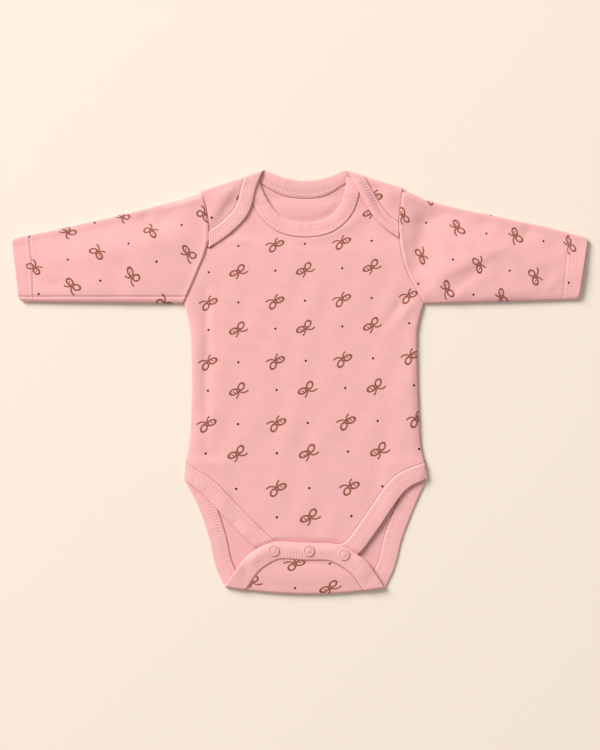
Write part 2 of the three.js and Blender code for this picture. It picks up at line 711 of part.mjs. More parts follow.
const STRIP_FIELD_STEP = 40;
addPiece('front_panel', clothPiece(frontOutline, layFront, CLOTH, FIELD_STEP), PINK, 0.92);
addPiece('back_panel', clothPiece(backOutline, layBack, CLOTH, FIELD_STEP * 1.5), PINK, 0.92);
for (const sleeve of SLEEVES) addPiece(sleeve.name, sleeveGeometry(sleeve), PINK, 0.92);
const bindings = [
  { name: 'neck_binding_front', lines: frontNeck, lay: layFront },
  { name: 'neck_binding_back', lines: backNeck, lay: layBack },
  { name: 'leg_binding_front', lines: frontLegs, lay: layFront },
  { name: 'leg_binding_back', lines: backLegs, lay: layBack },
];
for (const { name, lines, lay } of bindings) {
  addPiece(name, clothPiece(strip(lines), raised(lay), BINDING, STRIP_FIELD_STEP), PINK_SHADE, 0.92);
}
const capBase = TAB_MID - CLOTH / 2 + BINDING + SEAM_GAP;
SNAPS.forEach(({ x, y }, i) => {
  addPiece(`snap_cap_${i + 1}`, capGeometry(), PINK_ENAMEL, 0.35, [x, y, capBase]);
  addPiece(`snap_socket_${i + 1}`, socketGeometry(), PINK_ENAMEL, 0.35, [x, y, SOCKET_BASE]);
});

export default bodysuit;
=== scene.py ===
# %% [markdown]
# # A baby's bodysuit, laid flat
# The bodysuit is cotton jersey: a front, a back whose shoulder ends lap over the front and
# whose crotch end folds up and snaps, two sleeves, four bindings and three ring snaps.
# Blender could get such cloth from a simulation, but a garment that is laid out and
# smoothed by hand keeps the outline of its cut, so each piece is drawn as a cut, laid in
# place by a rule, and given its few soft creases. The first cell loads the plain
# solids that fix every size and place.

# %% The frame
import math

import bpy
import numpy as np
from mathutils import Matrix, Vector
from mathutils.geometry import delaunay_2d_cdt


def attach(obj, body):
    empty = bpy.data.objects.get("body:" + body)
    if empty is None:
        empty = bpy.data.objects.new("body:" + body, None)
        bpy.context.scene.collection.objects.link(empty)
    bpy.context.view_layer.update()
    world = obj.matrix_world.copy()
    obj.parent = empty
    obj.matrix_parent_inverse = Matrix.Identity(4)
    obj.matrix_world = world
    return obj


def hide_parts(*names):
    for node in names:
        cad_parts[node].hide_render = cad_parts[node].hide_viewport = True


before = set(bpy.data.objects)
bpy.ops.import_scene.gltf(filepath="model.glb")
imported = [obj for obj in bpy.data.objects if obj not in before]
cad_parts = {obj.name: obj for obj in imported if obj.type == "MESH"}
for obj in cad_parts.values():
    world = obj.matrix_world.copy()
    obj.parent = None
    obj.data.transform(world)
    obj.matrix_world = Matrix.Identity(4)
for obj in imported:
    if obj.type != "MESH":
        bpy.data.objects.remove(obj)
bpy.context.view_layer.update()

# %% [markdown]
# ## Sizes
# Tables and sizes are in millimetres, as a pattern cutter would write them, and meshes are
# in metres, so the last step of each piece divides by a thousand. Jersey is thin: the walls
# here are a little thinner than the plain solids, and follow them to about a millimetre.

# %% Sizes of the cloth
MM = 0.001
CLOTH = 1.0
BINDING = 1.6
SEAM_GAP = 0.3
OVER_BINDING = BINDING - CLOTH
JERSEY = 0.8
BODY_AXIS = 4.5
CROTCH_AXIS = 8.0

FRONT_NECK_BAND = 13.4
LAP_BAND = 13.0
LAP_BAND_LEFT, LAP_BAND_RIGHT = 12.6, 11.2
BACK_NECK_BAND = 16.0
FRONT_LEG_BAND = 16.0
BACK_LEG_BAND = 15.5
CUFF_HEM = 15.0

BACK_MID = CLOTH / 2
FRONT_MID = CLOTH + SEAM_GAP + CLOTH / 2
LAP_MID = 2 * BINDING + 2 * SEAM_GAP + CLOTH / 2
SOCKET_HEIGHT = 0.8
TAB_MID = FRONT_MID - CLOTH / 2 + BINDING + 2 * SEAM_GAP + SOCKET_HEIGHT + CLOTH / 2
TAB_FOLD_MID = 3.7

PANEL_STEP = 2.2
EDGE_STEP = 1.5
FOLD_STEP = 0.8
BAND_STEP = 0.8

# %% [markdown]
# ## The cut
# Each table below is one edge of the laid garment, with only the points that its shape
# needs. A smooth curve runs through them, the same one that a draughtsman's spline gives.

# %% Edges of the garment, columns x and y
SIDE_LEFT = [(-104, 71.5), (-98.6, 48), (-97.2, 0), (-98.6, -46), (-102.9, -72.2)]
SIDE_RIGHT = [(111.2, 71.5), (105.3, 47), (105.6, 0), (108, -53.5), (112, -72.2)]
ARMHOLE_LEFT = [(-104, 71.5), (-90.9, 101.2), (-83, 123), (-82.2, 146), (-87.7, 170.2)]
ARMHOLE_RIGHT = [(111.2, 71.5), (95.8, 100.2), (89.6, 126), (88.9, 145), (91.9, 172.6)]
FRONT_NECK_EDGE = [
    (-37.6, 184), (-29.9, 164.9), (-16.2, 148.9), (2.3, 144),
    (23.1, 147.3), (36.8, 160.8), (42.3, 184.5),
]
BACK_NECK_EDGE = [(-24.5, 187.6), (-10, 183), (5.4, 181.5), (19.8, 183.2), (34, 188.2)]
LAP_EDGE_LEFT = [(-38.6, 178), (-43.9, 158.2), (-50.8, 145.9), (-64.5, 132.8), (-81.9, 120.8)]
LAP_EDGE_RIGHT = [(49.5, 177.5), (59.9, 158.9), (66.2, 149.3), (76.5, 138.6), (88.9, 129.9)]
FRONT_LEG_EDGE = [
    (-104.2, -87), (-88, -99.8), (-66.5, -122), (-39.5, -148.7), (-23, -158.6), (8, -160),
    (38, -161), (53, -153.5), (69.3, -132.3), (87.3, -105.8), (98.5, -93.8), (114.3, -86.2),
]
BACK_LEG_LEFT = [(-104.2, -87), (-91.8, -111.2), (-81.9, -140), (-74.7, -168.8)]
TAB_EDGE = [
    (-54, -162.9), (-39.1, -149.7), (-20.4, -142.8), (8, -144),
    (32, -145), (52.7, -155.2), (65, -167.6),
]
BACK_LEG_RIGHT = [(84, -168.8), (91.8, -140), (103.5, -110.2), (114.3, -86.2)]

FRONT_HIP = {"left": (-102.9, -72.2), "right": (112, -72.2)}
BACK_HIP = {"left": (-102.9, -73.2), "right": (112, -73.2)}
LAP_END = {"left": (-81.8, 136.2), "right": (88.5, 144.2)}
FRONT_NECK_END = {"left": (-50.6, 179.8), "right": (55.4, 180.6)}
SHOULDER_INSET = 2.6


# %% [markdown]
# ## Lines
# All edges are lines of points, so a few small helpers serve every piece: a smooth step, a
# soft bump, the way travelled along a line, and a curve through a few given points. The
# same helpers shape heights later, which keeps every soft form in the scene of one family.

# %% Helpers for lines
def ramp(x):
    """Rises smoothly from 0 to 1 as x goes from 0 to 1."""
    x = np.clip(x, 0.0, 1.0)
    return x * x * (3 - 2 * x)


def hump(x):
    """A soft bump of height 1 and half width 1 round 0."""
    return np.exp(-np.square(x))


def travelled(line):
    """How far along the line each of its points is."""
    steps = np.linalg.norm(np.diff(line, axis=0), axis=1)
    return np.concatenate([[0.0], np.cumsum(steps)])


def respace(line, places, along=None):
    """The points of a line at the given distances along it, or along its partner line."""
    along = travelled(line) if along is None else along
    return np.stack([np.interp(places, along, column) for column in line.T], axis=1)


def spline(rows, step):
    """A smooth curve through the rows, as points about a step apart."""
    knots = np.array(rows, dtype=float)
    padded = np.vstack([knots[:1], knots, knots[-1:]])
    t = np.linspace(0, 1, 40, endpoint=False)[:, None]
    pieces = []
    for i in range(len(knots) - 1):
        a, b, c, d = padded[i:i + 4]
        v0, v1 = (c - a) / 2, (d - b) / 2
        cubic = (2 * b - 2 * c + v0 + v1) * t ** 3 + (-3 * b + 3 * c - 2 * v0 - v1) * t ** 2
        pieces.append(cubic + v0 * t + b)
    line = np.vstack([*pieces, knots[-1:]])
    length = travelled(line)[-1]
    return respace(line, np.linspace(0, length, max(int(round(length / step)), 2) + 1))


def left_normals(line, closed=False):
    """Unit vectors to the left of a line's way."""
    if closed:
        way = np.roll(line, -1, axis=0) - np.roll(line, 1, axis=0)
    else:
        way = np.gradient(line, axis=0)
    way = way / np.linalg.norm(way, axis=1)[:, None]
    return np.stack([-way[:, 1], way[:, 0]], axis=1)


# %% [markdown]
# ## Folds
# Where cloth is turned over, its middle surface goes round a half circle and comes back on
# top of itself. A fold knows how far a point of the cut lies beyond its axis, and moves it
# along the arc. Unfolding is the same rule backwards: it tells where on the cut a point of
# the laid lap must be drawn.

# %% Folds
class Fold:
    def __init__(self, radius, out, depth, holds):
        self.radius, self.out, self.depth, self.holds = radius, np.array(out), depth, holds

    def unfold(self, laid):
        laid = np.atleast_2d(np.array(laid, dtype=float))
        turned = -self.depth(laid)
        return laid + self.out * (2 * turned + math.pi * self.radius)[:, None]

    def lay(self, cut):
        depth = self.depth(cut)
        turn = np.clip(depth / self.radius, 0, math.pi)
        beyond = np.maximum(depth - math.pi * self.radius, 0)
        shift = np.where(depth > 0, self.radius * np.sin(turn) - beyond - depth, 0)
        laid = cut + self.out * shift[:, None]
        return np.column_stack([laid, self.radius * (1 - np.cos(turn))])


def shoulder_fold(start, end, side):
    start, end = np.array(start, dtype=float), np.array(end, dtype=float)
    along = (end - start) / np.linalg.norm(end - start)
    out = side * np.array([-along[1], along[0]])
    radius = (LAP_MID - BACK_MID) / 2
    axis = start - out * (radius + CLOTH / 2)
    fold = Fold(
        radius, out,
        lambda p: (p - axis) @ out,
        lambda p: ((p[:, 0] - BODY_AXIS) * out[0] > 0) & (p[:, 1] > 100),
    )
    fold.axis, fold.along = axis, along
    return fold


CROTCH_FOLD_LOW, CROTCH_FOLD_RISE, CROTCH_FOLD_HALF = -188.2, 7.0, 76.0


def crotch_axis(x):
    return CROTCH_FOLD_LOW + CROTCH_FOLD_RISE * ((x - CROTCH_AXIS) / CROTCH_FOLD_HALF) ** 2


FOLD_LEFT = shoulder_fold((-36.9, 189.5), (-86.4, 173.3), -1)
FOLD_RIGHT = shoulder_fold((45, 189.5), (91.8, 175.1), 1)
FOLD_CROTCH = Fold(
    (TAB_FOLD_MID - BACK_MID) / 2, (0.0, -1.0),
    lambda p: crotch_axis(p[:, 0]) - p[:, 1],
    lambda p: p[:, 1] < -120,
)
FOLDS = [FOLD_LEFT, FOLD_RIGHT, FOLD_CROTCH]


def near_fold(points, margin=1.5):
    close = np.zeros(len(points), dtype=bool)
    for fold in FOLDS:
        depth = fold.depth(points)
        close |= fold.holds(points) & (depth > -margin) & (depth < math.pi * fold.radius + margin)
    return close


print("fold radii in mm:", [round(fold.radius, 2) for fold in FOLDS])

# %% [markdown]
# ## Creases
# Laid jersey is never quite flat. Pressing, packing and the seams leave soft troughs and
# ridges, a millimetre or two high and a finger wide, and they are what the light shows.
# Each row below is one: its height in millimetres, negative for a trough, how
# far it reaches to its left and to its right, and the points that its middle runs through.
# A table is easier to adjust than a sculpted mesh, and gives the same cloth every time.
# Under them lies a faint unevenness, made of a few long waves.

# %% Creases, columns height, width to the left of its way, width to the right, and its way
FRONT_CREASES = [
    (-0.7, 4.5, 3.5, [(-86, 84), (-84, 40), (-85, -2), (-84, -65)]),
    (-0.6, 4, 5, [(-86, 82), (-84, 66), (-85, 50)]),
    (-0.7, 4.5, 4.5, [(94, 81), (86, 66), (74, 49)]),
    (0.8, 4.5, 4.5, [(106, 77), (98, 67), (89, 54)]),
    (0.6, 3.5, 18, [(101, 40), (101, -16), (102, -73)]),
    (0.7, 4, 5, [(-24, 138), (0, 130), (22, 132), (42, 141), (60, 152)]),
    (0.7, 5, 3.5, [(-68, 128), (-50, 127), (-32, 122)]),
    (0.25, 4, 4, [(-64, 139), (-52, 138), (-41, 134)]),
    (-0.4, 5, 5, [(-85, -75), (-70, -88), (-58, -100)]),
]
SLEEVE_CREASES = [
    (-2.5, 20, 9, [(118, 168), (112, 141), (106, 112), (104, 94)]),
    (1.0, 12, 5, [(110, 81), (134, 99), (162, 111), (189, 125)]),
    (-0.45, 4.5, 5, [(130, 79), (146, 90), (160, 99)]),
    (-0.6, 5, 5, [(208, 143), (203, 134), (195, 126)]),
    (0.5, 4, 4, [(220, 79), (225, 88), (232, 94)]),
    (0.7, 4, 14, [(258, 121), (256, 101), (253, 80)]),
    (-0.8, 5, 5, [(-140, 153), (-138, 143), (-133, 136)]),
    (-0.5, 5, 7, [(-135, 139), (-126, 144), (-113, 152)]),
    (-0.25, 3, 4, [(-123, 130), (-117, 121), (-111, 110)]),
    (-0.45, 4, 4, [(-143, 100), (-132, 91), (-120, 81)]),
    (-0.35, 4, 4, [(-227, 89), (-218, 89), (-209, 90)]),
    (0.6, 4.5, 7, [(-242, 105), (-243, 116), (-243, 128)]),
]
LAP_CREASES = [
    (1.2, 5, 10, [(-60, 178), (-74, 156), (-84, 142)]),
    (-0.9, 6, 6, [(-50, 174), (-64, 152), (-76, 135)]),
    (-1.5, 6, 4.5, [(60, 180), (68, 166), (78, 151), (87, 142)]),
    (1.5, 4, 5, [(48, 183), (60, 164), (72, 147), (86, 133)]),
    (0.7, 6, 7, [(84, 176), (80, 164), (86, 154)]),
]
TAB_CREASES = [
    (-0.5, 3, 4, [(-25, -163), (7, -162), (40, -166)]),
    (1.2, 3, 6, [(-67, -181), (-52, -163), (-31, -148)]),
    (0.5, 4, 4, [(48, -154), (60, -166), (70, -178)]),
]


def crease_height(rows, points):
    """A crease is strongest along its middle, and its two sides may be of different width."""
    height = np.zeros(len(points))
    for crease, left_width, right_width, way in rows:
        way = spline(way, 3.0)
        length = travelled(way)
        nearest = np.full(len(points), np.inf)
        side, along = np.zeros(len(points)), np.zeros(len(points))
        for i in range(len(way) - 1):
            step = way[i + 1] - way[i]
            share = np.clip((points - way[i]) @ step / (step @ step), 0, 1)
            gap = points - way[i] - share[:, None] * step
            distance = np.linalg.norm(gap, axis=1)
            closer = distance < nearest
            leftwards = (step[0] * gap[:, 1] - step[1] * gap[:, 0]) / np.linalg.norm(step)
            nearest[closer] = distance[closer]
            side[closer] = (leftwards / np.maximum(distance, 1e-9))[closer]
            along[closer] = (length[i] + share * np.linalg.norm(step))[closer]
        width = right_width + (left_width - right_width) * (side + 1) / 2
        taper = 0.4 + 0.6 * np.sin(math.pi * np.clip(along / length[-1], 0, 1))
        height += crease * taper * hump(nearest / width)
    return height


def unevenness(points, seed, shortest=16.0, longest=42.0, waves=9):
    """A faint, smooth unevenness between about -1 and 1."""
    draw = np.random.default_rng(seed)
    total = np.zeros(len(points))
    for _ in range(waves):
        angle, phase = draw.uniform(0, 2 * math.pi, 2)
        length = draw.uniform(shortest, longest)
        way = np.array([math.cos(angle), math.sin(angle)]) * 2 * math.pi / length
        total += np.sin(points @ way + phase)
    return total / math.sqrt(waves)


# %% [markdown]
# ## How the panels lie
# The back lies on the floor and the front lies on the back. Each panel has one rule that
# takes a point of its cut to its place: folds first, then how much the cloth swells, then
# its creases. Cloth swells where two loose layers lie on each other, and is held flat where
# it is sewn or pressed down. Cloth physics would find such heights too, but it would also
# pull the outline out of its cut, and the outline is what one sees from above.

# %% Where a point is
def rounded(x):
    """Rises from 0 to 1 as a quarter circle does, steep at first."""
    x = np.clip(x, 0, 1)
    return np.sqrt(1 - (1 - x) ** 2)


def between_sides(points):
    """How far points are inside the body's side seams."""
    left_y, left_x = np.array(SIDE_LEFT[::-1], dtype=float)[:, ::-1].T
    right_y, right_x = np.array(SIDE_RIGHT[::-1], dtype=float)[:, ::-1].T
    y = points[:, 1]
    from_left = points[:, 0] - np.interp(y, left_y, left_x)
    from_right = np.interp(y, right_y, right_x) - points[:, 0]
    return np.minimum(from_left, from_right)


def is_inside(outline, points):
    a, b = outline, np.roll(outline, -1, axis=0)
    inside = np.zeros(len(points), dtype=bool)
    for (ax, ay), (bx, by) in zip(a, b):
        if ay == by:
            continue
        crosses = (ay > points[:, 1]) != (by > points[:, 1])
        inside ^= crosses & (points[:, 0] < ax + (bx - ax) * (points[:, 1] - ay) / (by - ay))
    return inside


def distance_to(line, points):
    nearest = np.full(len(points), np.inf)
    for chunk in np.array_split(line, max(len(line) // 40, 1)):
        gaps = np.linalg.norm(points[:, None, :] - chunk[None], axis=2).min(axis=1)
        nearest = np.minimum(nearest, gaps)
    return nearest


# %% The front, over the back
FRONT_SWELL = 1.1
FRONT_UNEVEN = 0.16
SWELL_FROM_SIDE = 7.0
CREASE_FROM_SIDE = 4.0
SWELL_TOP, SWELL_TOP_WAY = 138.0, 24.0
SWELL_FROM_TAB = 5.0
STEP_WAY = 12.0
LEG_STEP_TOP, LEG_STEP_SIDE, LEG_STEP_WAY = -62.0, 62.0, 14.0
NECK_STEP_FOOT, NECK_STEP_SIDE, NECK_STEP_WAY = 158.0, 64.0, 6.0


def lay_front(cut):
    """The middle surface of the front. It steps up over the back's leg and neck bindings."""
    x, y = cut[:, 0], cut[:, 1]
    from_axis = np.abs(x - BODY_AXIS)
    over_back_leg = ramp((LEG_STEP_TOP - y) / STEP_WAY)
    over_back_leg = over_back_leg * ramp((from_axis - LEG_STEP_SIDE) / LEG_STEP_WAY)
    over_back_neck = ramp((y - NECK_STEP_FOOT) / STEP_WAY)
    over_back_neck = over_back_neck * ramp((NECK_STEP_SIDE - from_axis) / NECK_STEP_WAY)
    in_from_side = between_sides(cut)
    above_tab = y - np.interp(x, *np.array(TAB_EDGE, dtype=float).T)
    below_top = ramp((SWELL_TOP - y) / SWELL_TOP_WAY)
    open_cloth = rounded(in_from_side / SWELL_FROM_SIDE) * below_top * ramp(above_tab / SWELL_FROM_TAB)
    soft = crease_height(FRONT_CREASES, cut) + FRONT_UNEVEN * unevenness(cut, 3)
    over = np.maximum(over_back_leg, over_back_neck)
    height = FRONT_MID + OVER_BINDING * over + FRONT_SWELL * open_cloth
    height += soft * rounded(in_from_side / CREASE_FROM_SIDE) * ramp((above_tab + 2) / 8)
    return np.column_stack([cut, height])


# %% The back, with its laps and its tab turned over
NECK_OPENING = spline(FRONT_NECK_EDGE, 1.0)
NECK_DOME = 0.9
NECK_DOME_TOP, NECK_DOME_WAY = 168.0, 12.0
COLLAR_RISE = 1.0
COLLAR_FOOT, COLLAR_WAY, COLLAR_HALF = 164.0, 18.0, 42.0
LAP_SETTLE = 1.2
LAP_SETTLE_TOP, LAP_SETTLE_WAY = 172.0, 18.0
LAP_CLEARANCE = 0.1
TAB_SETTLE, TAB_SETTLE_WAY = 0.9, 6.0
TAB_CLIMB = 16.0
TAB_HALF, TAB_SIDE_WAY = 47.0, 12.0
TOUCH = 0.2


def past_fold(fold, cut):
    """How far points of the cut lie beyond the end of a fold's arc."""
    return fold.depth(cut) - math.pi * fold.radius


def lay_tab(laid, cut):
    """The tab climbs onto the front, takes its creases, and comes down along its edge."""
    xy = laid[:, :2]
    in_crotch = cut[:, 1] < -120
    beyond = past_fold(FOLD_CROTCH, cut)
    over_front = 1 - ramp((np.abs(xy[:, 0] - CROTCH_AXIS) - TAB_HALF) / TAB_SIDE_WAY)
    laid[:, 2] += (TAB_MID - TAB_FOLD_MID) * ramp(beyond / TAB_CLIMB) * in_crotch * over_front
    tab = ramp(beyond / 4) * in_crotch
    on_tab = tab > 0
    laid[on_tab, 2] += tab[on_tab] * crease_height(TAB_CREASES, xy[on_tab])
    near_edge = ramp(1 - distance_to(spline(TAB_EDGE, 1.0), xy[on_tab]) / TAB_SETTLE_WAY)
    laid[on_tab, 2] -= TAB_SETTLE * tab[on_tab] * near_edge * over_front[on_tab]


def lay_lap(laid, cut, fold):
    """A lap sinks onto the front below the neck binding, but never into it."""
    lap = fold.holds(cut) & (past_fold(fold, cut) > 0)
    xy = laid[lap, :2]
    beyond = ramp(past_fold(fold, cut[lap]) / 5)
    sunk = LAP_SETTLE * ramp((LAP_SETTLE_TOP - xy[:, 1]) / LAP_SETTLE_WAY)
    wanted = laid[lap, 2] + beyond * (crease_height(LAP_CREASES, xy) - sunk)
    lowest = lay_front(xy)[:, 2] + JERSEY + LAP_CLEARANCE
    softened = lowest + TOUCH * np.logaddexp(0, (wanted - lowest) / TOUCH)
    laid[lap, 2] += (softened - laid[lap, 2]) * beyond


def lay_neck(laid):
    """Inside the neck opening the back swells up a little, and its binding stands up."""
    x, y, z = laid.T
    flat_height = BACK_MID + 0.01
    in_neck = (z < flat_height) & (y > 140) & is_inside(NECK_OPENING, laid[:, :2])
    in_from_front = ramp(distance_to(NECK_OPENING, laid[in_neck, :2]) / 8)
    below_binding = ramp((NECK_DOME_TOP - y[in_neck]) / NECK_DOME_WAY)
    laid[in_neck, 2] += NECK_DOME * in_from_front * below_binding
    collar = ramp((y - COLLAR_FOOT) / COLLAR_WAY) * ramp((COLLAR_HALF - np.abs(x - BODY_AXIS)) / 8)
    laid[:, 2] += COLLAR_RISE * collar * (laid[:, 2] < flat_height)


def lay_back(cut):
    laid = np.column_stack([cut, np.zeros(len(cut))])
    for fold in FOLDS:
        turned = fold.holds(cut) & (fold.depth(cut) > 0)
        laid[turned] = fold.lay(cut[turned])
    laid[:, 2] += BACK_MID
    lay_tab(laid, cut)
    lay_lap(laid, cut, FOLD_LEFT)
    lay_lap(laid, cut, FOLD_RIGHT)
    lay_neck(laid)
    return laid


tried = lay_front(np.array([[BODY_AXIS, 0.0]]))[0, 2]
print("height of the front's middle surface at the belly, in mm:", round(tried, 2))

# %% [markdown]
# ## Walls
# Cloth has two faces and an edge. A piece is made as its middle surface, and the wall comes
# from moving a copy of it out along its normals on each side and joining the two copies
# round the edge. Solidify does the same, but here the folded bindings have a thickness that
# changes across them and the print's place has to go along, so it is done in code.

# %% Meshes
def unit(vectors):
    return vectors / np.maximum(np.linalg.norm(vectors, axis=-1, keepdims=True), 1e-12)


def point_normals(points, triangles):
    a, b, c = (points[triangles[:, i]] for i in range(3))
    faces = np.cross(b - a, c - a)
    normals = np.zeros_like(points)
    for i in range(3):
        np.add.at(normals, triangles[:, i], faces)
    return unit(normals)


def halved(a, b, c, d):
    """Two triangles for each four-sided face, from lists of its corners in order."""
    return np.vstack([np.column_stack([a, b, c]), np.column_stack([a, c, d])])


def open_edges(triangles):
    """The edges that only one triangle has, each in that triangle's direction."""
    directed = np.vstack([triangles[:, [0, 1]], triangles[:, [1, 2]], triangles[:, [2, 0]]])
    size = triangles.max() + 1
    forward = directed[:, 0] * size + directed[:, 1]
    backward = directed[:, 1] * size + directed[:, 0]
    return directed[~np.isin(forward, backward)]


def new_object(name, points_mm, faces, uv_mm=None, face_slots=None, materials=()):
    mesh = bpy.data.meshes.new(name)
    mesh.from_pydata((np.asarray(points_mm) * MM).tolist(), [], np.asarray(faces).tolist())
    for material in materials:
        mesh.materials.append(material)
    if uv_mm is not None:
        layer = mesh.uv_layers.new(name="cut")
        corners = np.empty(len(mesh.loops), dtype=np.int32)
        mesh.loops.foreach_get("vertex_index", corners)
        layer.data.foreach_set("uv", (np.asarray(uv_mm)[corners] * MM).astype(np.float32).ravel())
    if face_slots is not None:
        mesh.polygons.foreach_set("material_index", np.asarray(face_slots, dtype=np.int32))
    mesh.polygons.foreach_set("use_smooth", np.ones(len(mesh.polygons), dtype=bool))
    mesh.validate()
    mesh.update()
    piece = bpy.data.objects.new(name, mesh)
    bpy.context.scene.collection.objects.link(piece)
    return piece


def wall(middle, triangles, up, down):
    """Points and triangles of a closed wall, and the slot, 0 above or 1 below, of each face."""
    normals = point_normals(middle, triangles)
    count = len(middle)
    points = np.vstack([middle + normals * up[:, None], middle - normals * down[:, None]])
    rim = open_edges(triangles)
    a, b = rim[:, 0], rim[:, 1]
    rims = halved(b, a, a + count, b + count)
    faces = np.vstack([triangles, triangles[:, ::-1] + count, rims])
    slots = np.zeros(len(faces), dtype=int)
    slots[len(triangles):2 * len(triangles)] = 1
    return points, faces, slots


# %% [markdown]
# ## Filling an outline
# A panel needs points inside its outline that can take up the creases, with closer rows
# where it folds. A grid in Blender would need its edge cut to shape afterwards. A Delaunay
# filling joins the outline's own points with a staggered field of points, so the edge of the
# cloth stays exact and the triangles stay even.

# %% Filling an outline with triangles
def field_points(outline, step):
    """Staggered rows of points inside an outline, and closer rows where it folds."""
    low, high = outline.min(axis=0), outline.max(axis=0)
    ys = np.arange(low[1], high[1], step * 0.87)
    xs = np.arange(low[0], high[0], step)
    grid = np.array([(x + (i % 2) * step / 2, y) for i, y in enumerate(ys) for x in xs])
    grid = grid[~near_fold(grid)]
    rows = []
    for fold in FOLDS:
        for depth in np.linspace(0, math.pi * fold.radius, int(math.pi * fold.radius / FOLD_STEP) + 2):
            if fold is FOLD_CROTCH:
                x = np.arange(-75, 92, EDGE_STEP)
                rows.append(np.column_stack([x, crotch_axis(x) - depth]))
            else:
                places = np.arange(-20, 70, EDGE_STEP)[:, None]
                rows.append(fold.axis + fold.along * places + fold.out * depth)
    folded = np.vstack(rows)
    folded = folded[near_fold(folded)]
    points = np.vstack([grid, folded])
    points = points[is_inside(outline, points)]
    return points[distance_to(outline, points) > 0.5 * EDGE_STEP]


def fill(outline, step):
    """Points and triangles that fill an outline; the outline's points come first."""
    field = field_points(outline, step)
    points = np.vstack([outline, field])
    count = len(outline)
    edges = [(i, (i + 1) % count) for i in range(count)]
    found = delaunay_2d_cdt([Vector(p) for p in points], edges, [], 1, 1e-6)
    made = np.array([tuple(p) for p in found[0]])
    triangles = np.array([face for face in found[2]], dtype=int)
    if len(made) != len(points) or np.abs(made - points).max() > 1e-3:
        raise ValueError("the triangulation moved or added points")
    a, b, c = (made[triangles[:, i]] for i in range(3))
    area = (b[:, 0] - a[:, 0]) * (c[:, 1] - a[:, 1]) - (b[:, 1] - a[:, 1]) * (c[:, 0] - a[:, 0])
    triangles[area < 0] = triangles[area < 0][:, ::-1]
    return points, triangles


# %% [markdown]
# ## Edges of a panel
# At a seam the cloth turns down and meets its neighbour in a groove. Four narrow rings of
# faces just inside each panel's outline carry that turn, and how far an edge turns down is
# its own number: down at the front's edges, and up at the back's sides, where front and back
# meet edge to edge. The outer two rings get a deeper, redder pink. That pink is painted shade,
# standing in for the light that is lost between two pink faces in a groove. The rings along
# the side seams, which are open to the light, get none.

# %% Panels
EDGE_RINGS = (0.0, 0.07, 0.25, 0.55, 1.0)
EDGE_RADIUS = 1.3
TURN_SHARE = 0.7
PAINTED_SHADE_STRIPS = 2
CLOSEST_POINTS = 0.3
LEAST_INSET_SHARE = 0.2


def join_lines(*lines):
    """One closed outline from (points, turn) pairs, and how far each of its points turns.
    Points that are so close to a corner that the inner rings would cross are left out."""
    points = np.vstack([line for line, _ in lines])
    turns = np.concatenate([np.full(len(line), float(turn)) for line, turn in lines])
    gap = np.linalg.norm(points - np.roll(points, 1, axis=0), axis=1)
    points, turns = points[gap > CLOSEST_POINTS], turns[gap > CLOSEST_POINTS]
    while True:
        inset = points + left_normals(points, closed=True) * EDGE_RADIUS
        side = np.roll(points, -1, axis=0) - points
        inset_side = np.roll(inset, -1, axis=0) - inset
        kept_share = (side * inset_side).sum(axis=1) / (side * side).sum(axis=1)
        worst = int(np.argmin(kept_share))
        if kept_share[worst] > LEAST_INSET_SHARE:
            return points, turns
        way = unit(side)
        bend = 1 - (way * np.roll(way, 1, axis=0)).sum(axis=1)
        after = (worst + 1) % len(points)
        loser = worst if bend[worst] < bend[after] else after
        points, turns = np.delete(points, loser, axis=0), np.delete(turns, loser)


def panel(name, outline, turns, lay, materials, print_place):
    normals = left_normals(outline, closed=True)
    rings = [outline + normals * (share * EDGE_RADIUS) for share in EDGE_RINGS]
    core, core_triangles = fill(rings[-1], PANEL_STEP)
    count = len(outline)
    outer = np.vstack(rings[:-1])
    cut = np.vstack([outer, core])
    strips = []
    here = np.arange(count)
    there = (here + 1) % count
    for ring in range(len(rings) - 1):
        a, b = ring * count + here, ring * count + there
        strips.append(halved(a, b, b + count, a + count))
    triangles = np.vstack([*strips, core_triangles + len(outer)])
    middle = lay(cut)
    for ring, share in enumerate(EDGE_RINGS[:-1]):
        rows = slice(ring * count, (ring + 1) * count)
        middle[rows, 2] -= turns * (1 - rounded(share / TURN_SHARE))
    half = np.full(len(cut), JERSEY / 2)
    points, faces, slots = wall(middle, triangles, half, half)
    # The outer rings, all but along the side seams, take slot 2: the painted groove shade.
    painted_shade_faces = np.tile(np.abs(turns) != SEAM_TURN, 2 * PAINTED_SHADE_STRIPS)
    for start in (0, len(triangles)):
        slots[start:start + len(painted_shade_faces)][painted_shade_faces] = 2
    uv = print_place(np.vstack([cut, cut]))
    piece = new_object(name, points, faces, uv, slots, materials)
    x, y = outline.T
    area = abs(np.dot(x, np.roll(y, -1)) - np.dot(y, np.roll(x, -1))) / 2
    print(name, "points:", len(points), "faces:", len(faces), "cut in cm2:", round(area / 100, 1))
    return piece, area


# %% [markdown]
# ## Lines that the pieces share
# A binding is drawn from its free edge: its inner line lies one width to the left, and near
# each end it is led into the point where the seam runs out. The panel ends on that same
# line, less a small gap. So one table of points shapes the edge, the band and the panel.

# %% Seam lines
LEAD = 26.0
BAND_REACH = 15.0
NECK_HALF, NECK_TO_LAP = 10.0, 26.0


def trace(rows, width=0.0):
    """A smooth line through the rows, with its points closer together where cloth folds."""
    dense = spline(rows, 0.2)
    normals = left_normals(dense)
    fine = np.zeros(len(dense), dtype=bool)
    for share in (0, 0.25, 0.5, 0.75, 1):
        fine |= near_fold(dense + normals * share * width)
    step = np.where(fine, FOLD_STEP, EDGE_STEP)
    along = travelled(dense)
    progress = np.concatenate([[0], np.cumsum(np.diff(along) / step[1:])])
    even = np.linspace(0, progress[-1], int(round(progress[-1])) + 1)
    return respace(dense, np.interp(even, progress, along))


